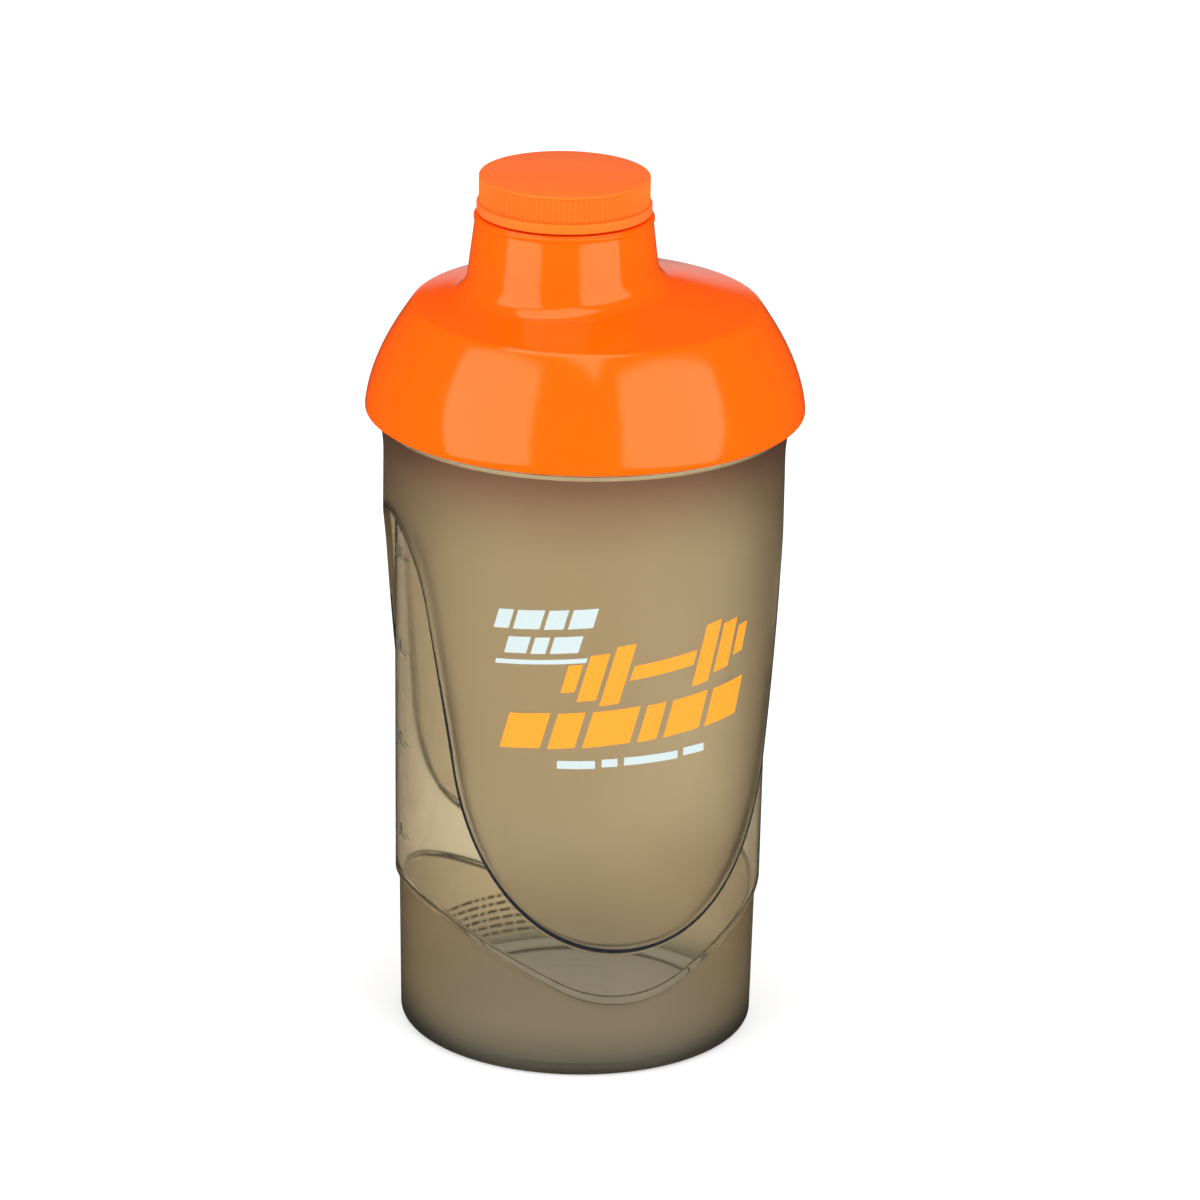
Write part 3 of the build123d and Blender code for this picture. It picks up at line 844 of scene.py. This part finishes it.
def build_front_mark(settings):
    """Generic front mark: bold orange bars under short pale bars, with a thin pale line below."""
    thick = settings.ink_thickness
    bold = []
    rise = 0.115
    # Upper row: a dumbbell of upright plates on a handle
    for s, z, length, height in (
            (-17.5, 95.6, 3.2, 6.6), (-13.3, 93.6, 4.4, 11.0), (-7.9, 92.6, 4.4, 14.0),
            (-2.6, 98.4, 15.6, 3.4), (13.6, 95.0, 4.4, 14.0), (19.0, 97.2, 4.4, 11.0),
            (24.4, 99.9, 3.2, 6.6)):
        start = s + BAR_SLANT * (z - 92)
        bold.append(slanted_bar(start * MM, z * MM, length * MM, height * MM, thick, rise=rise))
    # Lower row: a run of slanted bars
    for s, length in ((-30.5, 9.5), (-19.3, 6.2), (-11.4, 10.8), (1.1, 4.6), (7.4, 9.2), (18.3, 9.6)):
        z = 81.2 + (s + 30.5) * rise * 0.62
        bold.append(slanted_bar(s * MM, z * MM, length * MM, 8.6 * MM, thick, rise=rise * 0.8))
    orange = add_mesh("Front_mark_orange", *joined(bold), [ink("Orange_ink", settings.orange_ink)])
    pale = []
    for s, z, length, height in (
            (-32.2, 109.6, 3.6, 4.6), (-27.6, 109.9, 6.2, 4.6), (-20.4, 110.4, 4.4, 4.6),
            (-15.0, 110.8, 5.6, 4.6),
            (-29.6, 104.0, 5.2, 4.0), (-23.4, 104.4, 3.4, 4.0), (-19.0, 104.8, 6.4, 4.0),
            (-31.8, 101.2, 21.0, 1.1)):
        pale.append(slanted_bar(s * MM, z * MM, length * MM, height * MM, thick, rise=0.085))
    for s, length in ((-17.0, 8.6), (-6.9, 3.6), (-1.8, 13.0), (12.7, 5.6)):
        pale.append(slanted_bar(s * MM, (77.4 + 0.045 * (s + 17)) * MM, length * MM, 1.9 * MM, thick,
                                slant=0.0, rise=0.02))
    small = add_mesh("Front_mark_pale", *joined(pale), [ink("Pale_ink", settings.pale_ink)])
    return orange, small


def build_scales(settings):
    """Volume scales on the two windows: numbers and ticks."""
    thick = settings.ink_thickness
    parts = []
    window = math.pi / 2

    def tick(s, z, length, height, middle):
        parts.append(slanted_bar(s * MM, z * MM, length * MM, height * MM, thick, slant=0, middle=middle))

    for text, z in (("20", 115.4), ("16", 92.8), ("12", 70.2), ("8", 47.6)):
        parts.append(number(text, -1.2 * MM, z * MM, settings.digit_height, thick, -window))
        tick(0.8, z - 0.2, 4.2, 0.42, -window)
    for text, z in (("600", 117.0), ("500", 97.9), ("400", 78.8), ("300", 59.7), ("200", 40.6)):
        parts.append(number(text, 9.6 * MM, z * MM, settings.digit_height, thick, window))
        tick(-4.2, z - 0.2, 4.2, 0.42, window)
        if z > 50:
            tick(-3.4, z - 9.7, 2.4, 0.3, window)
    return add_mesh("Volume_scales", *joined(parts), [ink("Grey_ink", settings.grey_ink)])


def build_back_lines(settings):
    """Small print on the back of the foot band, drawn as plain broken lines."""
    thick = settings.ink_thickness
    parts = []
    draw = np.random.default_rng(7)
    for line in range(6):
        z = (3.6 + 1.9 * line) * MM
        s = -24.0 * MM
        while s < 34.0 * MM:
            length = draw.uniform(1.2, 4.4) * MM
            parts.append(slanted_bar(s, z, length, 0.75 * MM, thick, slant=0, middle=math.pi))
            s += length + 0.7 * MM
    return add_mesh("Back_lines", *joined(parts), [ink("Grey_ink_small", settings.grey_ink)])


# ---------------------------------------------------------------- the lid's form
def dome_side(inset):
    """Profile of the dome from its open edge up to the crease's start, drawn in by inset."""
    edge = LID_EDGE_RADIUS - inset
    side_x = CREASE_RADIUS + 1.3 * MM
    side_z = CREASE_Z - 1.9 * MM
    return bezier([
        (edge, LID_EDGE_Z + 1.2 * MM),
        (edge - 1.0 * MM, LID_EDGE_Z + 9.9 * MM - 0.35 * inset),
        (side_x + 3.8 * MM - 0.85 * inset, side_z - 5.6 * MM - 0.55 * inset),
        (side_x - 0.8 * inset, side_z - 0.6 * inset)], 44)


def dome_rings(inset):
    """Dome side and rounded crease, drawn in by inset, as (radius, z)."""
    side = dome_side(inset)
    crease = (CREASE_RADIUS - 0.75 * inset, CREASE_Z - 0.85 * inset)
    inside = crease[0] - 8 * MM
    shoulder = (inside, crease[1] + 8 * MM * SHOULDER_SLOPE, 0)
    top = rounded([(*side[-1], 0), (*crease, CREASE_ROUND), shoulder], 10)
    return np.concatenate([side[:-1], top[:-1]])


def shoulder_rings(start, inset):
    """Rings of points from the crease over the shoulder, the blend and the neck, up to its top."""
    across = start[:, :2] - np.array((neck_x, 0.0))
    far = np.linalg.norm(across, axis=1)
    aim = across / far[:, None]
    lean = (NECK_LOW_RADIUS - NECK_TOP_RADIUS) / (NECK_TOP_Z - NECK_LOW_Z)
    blend = NECK_BLEND + inset
    crease_z = CREASE_Z - 1.04 * inset

    def place(t):
        return np.array((neck_x, 0.0)) + aim * t[:, None]

    def shoulder_z(t):
        return crease_z + (CREASE_RADIUS - np.linalg.norm(place(t), axis=1)) * SHOULDER_SLOPE

    def shoulder_pitch(t):
        spot = place(t)
        return -SHOULDER_SLOPE * (spot * aim).sum(1) / np.linalg.norm(spot, axis=1)

    def neck_radius(z):
        return NECK_LOW_RADIUS + (NECK_LOW_Z - z) * lean - inset

    middle_t = np.full(len(far), NECK_LOW_RADIUS + blend)
    for _ in range(30):
        middle_z = shoulder_z(middle_t) + blend * np.sqrt(1 + shoulder_pitch(middle_t) ** 2)
        middle_t = neck_radius(middle_z) + blend * math.sqrt(1 + lean ** 2)
    first = np.arctan2(-np.ones_like(far), shoulder_pitch(middle_t))
    last = -math.pi + math.atan(lean)
    foot_t = middle_t + blend * np.cos(first)
    foot_z = middle_z + blend * np.sin(first)
    rings = []
    lift = start[:, 2] - shoulder_z(far)
    for share in np.linspace(0, 1, 15)[1:-1]:
        t = far + (foot_t - far) * share
        rings.append(np.column_stack([place(t), shoulder_z(t) + lift * (1 - share)
                                      + (foot_z - shoulder_z(foot_t)) * share]))
    for share in np.linspace(0, 1, 15):
        turn = first + (last - first) * share
        t = middle_t + blend * np.cos(turn)
        rings.append(np.column_stack([place(t), middle_z + blend * np.sin(turn)]))
    wall_z = rings[-1][:, 2]
    top = NECK_TOP_Z - BEAD_HEIGHT - 0.3 * MM - (inset > 0) * 0.3 * MM
    for share in np.linspace(0, 1, 9)[1:]:
        z = wall_z + (top - wall_z) * share
        rings.append(np.column_stack([place(neck_radius(z)), z]))
    return rings, aim


def build_lid(settings):
    """The lid: dome, neck, bead and spout as one closed shell, with its skirt, web, plug and threads."""
    columns = 288
    angle = np.linspace(0, 2 * math.pi, columns, endpoint=False)
    circle = np.stack([np.cos(angle), np.sin(angle)], -1)

    def about_cup(profile):
        return [np.column_stack([circle * r, np.full(columns, z)]) for r, z in profile]

    outside = about_cup(dome_rings(0))
    neck_outside, aim = shoulder_rings(outside[-1], 0)
    inside = about_cup(dome_rings(LID_WALL))
    neck_inside = shoulder_rings(inside[-1], LID_WALL)[0]

    def about_neck(profile, way):
        return [np.column_stack([np.array((neck_x, 0.0)) + way * r, np.full(columns, z)]) for r, z in profile]

    bead = NECK_TOP_RADIUS + BEAD_DEPTH
    head = rounded([
        (NECK_TOP_RADIUS + 0.2 * MM, NECK_TOP_Z - BEAD_HEIGHT - 0.2 * MM, 0),
        (NECK_TOP_RADIUS + 0.17 * MM, NECK_TOP_Z - BEAD_HEIGHT, 0.1 * MM),
        (bead, NECK_TOP_Z - BEAD_HEIGHT + 0.1 * MM, 0.25 * MM), (bead, NECK_TOP_Z - 0.3 * MM, 0.3 * MM),
        (NECK_TOP_RADIUS, NECK_TOP_Z - 0.3 * MM, 0.1 * MM),
        (NECK_TOP_RADIUS - 0.1 * MM, NECK_TOP_Z, 0.1 * MM),
        (SPOUT_RADIUS, NECK_TOP_Z, 0.2 * MM), (SPOUT_RADIUS, SPOUT_TOP, 0.4 * MM),
        (SPOUT_BORE, SPOUT_TOP, 0.4 * MM), (SPOUT_BORE, NECK_TOP_Z - LID_WALL, 0.2 * MM),
        (NECK_TOP_RADIUS - LID_WALL, NECK_TOP_Z - LID_WALL, 0.2 * MM),
        (NECK_TOP_RADIUS - LID_WALL + 0.06 * MM, NECK_TOP_Z - LID_WALL - 0.25 * MM, 0)])
    edge = rounded([
        (LID_EDGE_RADIUS - LID_WALL, LID_EDGE_Z + 1.2 * MM, 0),
        (LID_EDGE_RADIUS - LID_WALL, LID_EDGE_Z, 0.3 * MM),
        (LID_EDGE_RADIUS, LID_EDGE_Z, 0.45 * MM), (LID_EDGE_RADIUS, LID_EDGE_Z + 1.2 * MM, 0)])[1:-1]
    rings = about_cup(edge) + outside + neck_outside + about_neck(head, aim)
    rings += neck_inside[::-1] + inside[::-1]
    shell = np.concatenate(rings), ring_faces(len(rings), columns, closed=True)
    middle = dome_side(LID_WALL / 2)

    def reach(z):
        return float(np.interp(z, middle[:, 1], middle[:, 0]))

    skirt = rounded([
        (SKIRT_BORE, LID_EDGE_Z + 0.1 * MM, 0), (reach(149 * MM), LID_EDGE_Z + 0.1 * MM, 0),
        (reach(152 * MM), 152 * MM, 0), (reach(SKIRT_TOP), SKIRT_TOP, 0), (SKIRT_BORE, SKIRT_TOP, 0)])
    web = rounded([(PLUG_BORE, SEAT_Z - PLUG_DROP, 0), (PLUG_RADIUS, SEAT_Z - PLUG_DROP, 0.4 * MM),
                   (PLUG_RADIUS, SEAT_Z, 0), (reach(SEAT_Z), SEAT_Z, 0),
                   (reach(SEAT_Z + WEB_THICKNESS), SEAT_Z + WEB_THICKNESS, 0),
                   (PLUG_BORE, SEAT_Z + WEB_THICKNESS, 0.4 * MM)])
    verts, faces = joined([
        shell, turned(skirt, 144), turned(web, 144), ridge(SKIRT_BORE, True, LID_THREAD, LID_THREAD_Z, 0),
        ridge(SPOUT_RADIUS, False, CAP_THREAD, CAP_THREAD_Z + CAP_THREAD[3] / 2, neck_x)])
    glossy_orange = plastic("Glossy_orange", settings.colour, settings.gloss, drift=0.05, rough_drift=0.05,
                            grain_scale=700.0, grain=0.02, flow=0.9, bump=0.012, ior=1.5)
    shader = glossy_orange.node_tree.nodes["Principled BSDF"]
    shader.inputs["Specular Tint"].default_value = (*settings.gloss_tint, 1)
    return add_mesh("Lid_shell", verts, faces, [glossy_orange], sharp=38)


def build_cap(settings):
    """The spout cap: smooth band, fine upright ribs, rounded top, bore and thread."""
    columns = settings.ribs * 8
    angle = np.linspace(0, 2 * math.pi, columns, endpoint=False)
    low, high = cap_low.z, cap_high.z
    ribbing = np.maximum(np.cos(angle * settings.ribs), -0.25)
    ribbing = (ribbing + 0.25) / 1.25
    rib_low, rib_high = low + CAP_BAND_HEIGHT, high - 0.5 * MM
    profile = rounded([
        (0, high, 0), (CAP_TOP_RADIUS, high, 0.45 * MM), (CAP_TOP_RADIUS, rib_high, 0.0),
        (CAP_BODY_RADIUS, rib_high, 0), (CAP_BODY_RADIUS, rib_low, 0), (CAP_BAND_RADIUS, rib_low, 0.3 * MM),
        (CAP_BAND_RADIUS, low, 0.35 * MM), (CAP_BORE, low, 0.3 * MM), (CAP_BORE, high - CAP_ROOF, 0.5 * MM),
        (0, high - CAP_ROOF, 0)])
    rings, depths = [], []
    for i, (r, z) in enumerate(profile[1:-1]):
        ribbed = abs(r - CAP_BODY_RADIUS) < 1e-7
        if ribbed and z < rib_high - 0.1 * MM:
            for up, share in (
                    (rib_high - 0.02 * MM, 0.0), (rib_high - 0.15 * MM, 0.7), (rib_high - 0.35 * MM, 1.0),
                    ((rib_high + rib_low) / 2, 1.0), (rib_low + 0.02 * MM, 1.0)):
                rings.append((r, up))
                depths.append(share)
        elif not ribbed:
            rings.append((r, z))
            depths.append(0.0)
    verts = []
    for (r, z), share in zip(rings, depths):
        radius = r + (CAP_RIB_DEPTH + 0.12 * MM) * ribbing * share
        across, along = neck_x + radius * np.cos(angle), radius * np.sin(angle)
        verts.append(np.stack([across, along, np.full(columns, z)], -1))
    faces = ring_faces(len(rings), columns, flip=True)
    verts = np.concatenate(verts)
    top, last = len(verts), (len(rings) - 1) * columns
    verts = np.concatenate([verts, [(neck_x, 0, high), (neck_x, 0, high - CAP_ROOF)]])
    for column in range(columns):
        after = (column + 1) % columns
        faces += [(top, column, after), (top + 1, last + after, last + column)]
    verts, faces = joined([(verts, faces), ridge(CAP_BORE, True, CAP_THREAD, CAP_THREAD_Z, neck_x)])
    matte_orange = plastic("Matte_orange", settings.colour, settings.matte, drift=0.06, rough_drift=0.10,
                           grain_scale=2400.0, grain=0.8, flow=0.1, bump=0.02)
    shader = matte_orange.node_tree.nodes["Principled BSDF"]
    shader.inputs["Specular Tint"].default_value = (*settings.gloss_tint, 1)
    return add_mesh("Cap_shell", verts, faces, [matte_orange], sharp=40)


# ---------------------------------------------------------------- operators
def finish_piece(piece, body, slot_name, *nodes):
    """Piece rides on the body and stands for the nodes; slot_name is not used."""
    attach(piece, body)
    if nodes:
        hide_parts(*nodes)


class SHAKER_OT_cup(bpy.types.Operator):
    """Build the smoked cup with its frosted panels and clear windows"""

    bl_idname = "shaker.cup"
    bl_label = "Cup"

    def execute(self, context):
        finish_piece(build_cup(context.scene.shaker_cup), "cup_body", "cup_smoke", "cup")
        return {"FINISHED"}


class SHAKER_OT_prints(bpy.types.Operator):
    """Print the front mark, the volume scales and the back lines on the cup"""

    bl_idname = "shaker.prints"
    bl_label = "Prints"

    def execute(self, context):
        settings = context.scene.shaker_prints
        orange, pale = build_front_mark(settings)
        finish_piece(orange, "cup_body", "print_orange")
        finish_piece(pale, "cup_body", "print_pale")
        finish_piece(build_scales(settings), "cup_body", "print_grey")
        finish_piece(build_back_lines(settings), "cup_body", "print_grey")
        return {"FINISHED"}


class SHAKER_OT_lid(bpy.types.Operator):
    """Build the glossy lid with its offset neck and spout"""

    bl_idname = "shaker.lid"
    bl_label = "Lid"

    def execute(self, context):
        finish_piece(build_lid(context.scene.shaker_lid), "lid_body", "lid_orange", "lid")
        return {"FINISHED"}


class SHAKER_OT_seals(bpy.types.Operator):
    """Build the lid's seal ring and the cap's liner"""

    bl_idname = "shaker.seals"
    bl_label = "Seals"

    def execute(self, context):
        settings = context.scene.shaker_lid
        edge = 0.3 * MM
        inner = PLUG_RADIUS + 0.3 * MM
        profile = rounded([
            (inner, (gasket_low.z + gasket_high.z) / 2, 0), (inner, gasket_low.z, edge),
            (gasket_high.x, gasket_low.z, edge), (gasket_high.x, gasket_high.z, edge),
            (inner, gasket_high.z, edge), (inner, (gasket_low.z + gasket_high.z) / 2 + 0.05 * MM, 0)])
        verts, faces = turned(profile, 160)
        milky = plastic("Milky_silicone", settings.seal_colour, 0.45, drift=0.08, rough_drift=0.1,
                        grain_scale=1500.0, grain=0.4, bump=0.02, subsurface=0.3)
        finish_piece(add_mesh("Seal_ring", verts, faces, [milky]), "seal_body", "seal", "lid_gasket")
        radius = (liner_high.x - liner_low.x) / 2
        disc = rounded([(0, liner_low.z, 0), (radius, liner_low.z, 0.15 * MM),
                        (radius, liner_high.z, 0.15 * MM), (0, liner_high.z, 0)])
        verts, faces = turned(disc, 120, neck_x, closed=False)
        foamed = plastic("Foamed_liner", settings.liner_colour, 0.6, drift=0.06, rough_drift=0.1,
                         grain_scale=1800.0, grain=1.0, bump=0.03)
        finish_piece(add_mesh("Cap_liner_disc", verts, faces, [foamed]), "liner_body", "liner", "cap_liner")
        return {"FINISHED"}


class SHAKER_OT_strainer(bpy.types.Operator):
    """Give the frame's strainer its satin finish"""

    bl_idname = "shaker.strainer"
    bl_label = "Strainer"

    def execute(self, context):
        satin = plastic("Satin_orange", context.scene.shaker_lid.strainer_colour, 0.38, drift=0.08,
                        rough_drift=0.1, grain_scale=1800.0, grain=0.6, flow=0.2, bump=0.02)
        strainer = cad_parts["strainer"]
        strainer.data.materials.clear()
        strainer.data.materials.append(satin)
        return {"FINISHED"}


class SHAKER_OT_cap(bpy.types.Operator):
    """Build the matte ribbed spout cap"""

    bl_idname = "shaker.cap"
    bl_label = "Spout cap"

    def execute(self, context):
        finish_piece(build_cap(context.scene.shaker_cap), "cap_body", "cap_orange", "spout_cap")
        return {"FINISHED"}


class SHAKER_OT_stage(bpy.types.Operator):
    """Set up the pale floor, the soft lamps, the room and the camera"""

    bl_idname = "shaker.stage"
    bl_label = "Stage"

    def execute(self, context):
        settings = context.scene.shaker_stage
        build_floor(settings)
        build_room(context.scene, settings)
        build_softboxes(settings)
        build_camera(context.scene, settings)
        return {"FINISHED"}


# ---------------------------------------------------------------- stage
def build_floor(settings):
    """Large pale floor."""
    half = 6.0
    steps = 12
    line = np.linspace(-half, half, steps + 1)
    verts = [(x, y, -0.05 * MM) for y in line for x in line]
    faces = []
    for row in range(steps):
        for column in range(steps):
            low = row * (steps + 1) + column
            high = low + steps + 1
            faces.append((low, low + 1, high + 1, high))
    pale = plastic("Pale_floor", settings.floor_colour, 0.8, drift=0.01, rough_drift=0.02, grain=0.0,
                   bump=0.0)
    shader = pale.node_tree.nodes["Principled BSDF"]
    shader.inputs["Specular IOR Level"].default_value = 0.0
    shader.inputs["Emission Color"].default_value = (1, 1, 1, 1)
    shader.inputs["Emission Strength"].default_value = settings.floor_glow
    floor = add_mesh("Floor", verts, faces, [pale])
    floor.visible_glossy = False


def build_room(scene, settings):
    """Pale room: bright where it is seen or lights, dimmer in mirror reflections."""
    world = bpy.data.worlds.new("Pale_room")
    world.use_nodes = True
    scene.world = world
    nodes, link = world.node_tree.nodes, world.node_tree.links.new
    background = nodes["Background"]
    ray = nodes.new("ShaderNodeLightPath")
    mirrored = nodes.new("ShaderNodeMapRange")
    place = nodes.new("ShaderNodeTexCoord")
    ahead = nodes.new("ShaderNodeVectorMath")
    ahead.operation = "DOT_PRODUCT"
    azimuth = settings.camera_azimuth
    ahead.inputs[1].default_value = (-math.sin(azimuth), math.cos(azimuth), 0)
    link(place.outputs["Generated"], ahead.inputs[0])
    link(ahead.outputs["Value"], mirrored.inputs["Value"])
    mirrored.interpolation_type = "SMOOTHSTEP"
    mirrored.inputs["From Min"].default_value = 0.965
    mirrored.inputs["From Max"].default_value = 0.998
    mirrored.inputs["To Min"].default_value = 0.03 * settings.surround
    mirrored.inputs["To Max"].default_value = 0.5 * settings.surround
    mix = nodes.new("ShaderNodeMix")
    mix.data_type = "FLOAT"
    link(ray.outputs["Is Glossy Ray"], mix.inputs["Factor"])
    mix.inputs["A"].default_value = settings.surround
    link(mirrored.outputs["Result"], mix.inputs["B"])
    background.inputs["Color"].default_value = (1, 1, 1, 1)
    link(mix.outputs["Result"], background.inputs["Strength"])


def build_softboxes(settings):
    """Two tall softboxes, one each side of the camera, and one overhead that only shows in reflections."""
    for name, side, reach, height, width, depth, roll in (
            ("Left", -55.0, 1.6, 0.66, 1.55, 1.7, 14.0), ("Right", 50.0, 1.6, 0.66, 1.8, 1.7, -14.0),
            ("Top", -30.0, 0.45, 1.6, 1.5, 1.1, 0.0)):
        light = bpy.data.lights.new(f"{name}_softbox", "AREA")
        light.shape = "RECTANGLE"
        light.size = width
        light.size_y = depth
        light.energy = settings.box_power * width * depth
        lamp = bpy.data.objects.new(light.name, light)
        bpy.context.scene.collection.objects.link(lamp)
        angle = settings.camera_azimuth + math.radians(side)
        lamp.location = (reach * math.sin(angle), -reach * math.cos(angle), height)
        aim = (Vector((0, 0, 0.14)) - lamp.location).to_track_quat("-Z", "Y").to_matrix()
        lamp.rotation_euler = (aim @ Matrix.Rotation(math.radians(roll), 3, "Z")).to_euler()
        if name == "Top":
            lamp.visible_diffuse = False
            lamp.visible_transmission = False


def build_camera(scene, settings):
    """Camera at its measured place."""
    data = bpy.data.cameras.new("Camera")
    data.sensor_width = 36.0
    data.lens = settings.lens
    data.clip_start, data.clip_end = 0.05, 50
    camera = bpy.data.objects.new("Camera", data)
    scene.collection.objects.link(camera)
    azimuth, yaw, pitch, roll = (
        settings.camera_azimuth, settings.camera_yaw, settings.camera_pitch, settings.camera_roll)
    right = Vector((math.cos(azimuth), math.sin(azimuth), 0))
    forward = Vector((-math.sin(azimuth), math.cos(azimuth), 0))
    level = right * math.sin(yaw) + forward * math.cos(yaw)
    side = right * math.cos(yaw) - forward * math.sin(yaw)
    aim = level * math.cos(pitch) - Vector((0, 0, math.sin(pitch)))
    up = side.cross(aim)
    turned_side = side * math.cos(roll) + up * math.sin(roll)
    turned_up = up * math.cos(roll) - side * math.sin(roll)
    matrix = Matrix((turned_side, turned_up, -aim)).transposed().to_4x4()
    matrix.translation = -forward * settings.camera_distance + Vector((0, 0, settings.camera_height))
    camera.matrix_world = matrix
    scene.camera = camera
    scene.view_settings.view_transform = "Standard"


# ---------------------------------------------------------------- panel and registration
STEPS = (SHAKER_OT_cup, SHAKER_OT_prints, SHAKER_OT_lid, SHAKER_OT_seals, SHAKER_OT_strainer, SHAKER_OT_cap,
         SHAKER_OT_stage)


class SHAKER_PT_bottle(bpy.types.Panel):
    """Buttons and settings of the shaker bottle"""

    bl_idname = "SHAKER_PT_bottle"
    bl_label = "Shaker Bottle"
    bl_space_type = "VIEW_3D"
    bl_region_type = "UI"
    bl_category = "Shaker"

    def draw(self, context):
        column = self.layout.column(align=True)
        for step in STEPS:
            column.operator(step.bl_idname)
        for name, settings in SETTINGS.items():
            box = self.layout.box()
            box.label(text=settings.__doc__)
            for prop in settings.__annotations__:
                box.prop(getattr(context.scene, name), prop)


CLASSES = (*SETTINGS.values(), *STEPS, SHAKER_PT_bottle)


def register():
    """Register the settings, the operators and the panel."""
    for made in CLASSES:
        bpy.utils.register_class(made)
    for name, settings in SETTINGS.items():
        setattr(bpy.types.Scene, name, PointerProperty(type=settings))


def unregister():
    """Take the settings, the operators and the panel away again."""
    for name in SETTINGS:
        delattr(bpy.types.Scene, name)
    for made in reversed(CLASSES):
        bpy.utils.unregister_class(made)


def main():
    """Build the whole bottle and its stage."""
    register()
    bpy.ops.shaker.cup()
    bpy.ops.shaker.prints()
    bpy.ops.shaker.lid()
    bpy.ops.shaker.seals()
    bpy.ops.shaker.strainer()
    bpy.ops.shaker.cap()
    bpy.ops.shaker.stage()


if __name__ == "__main__":
    main()
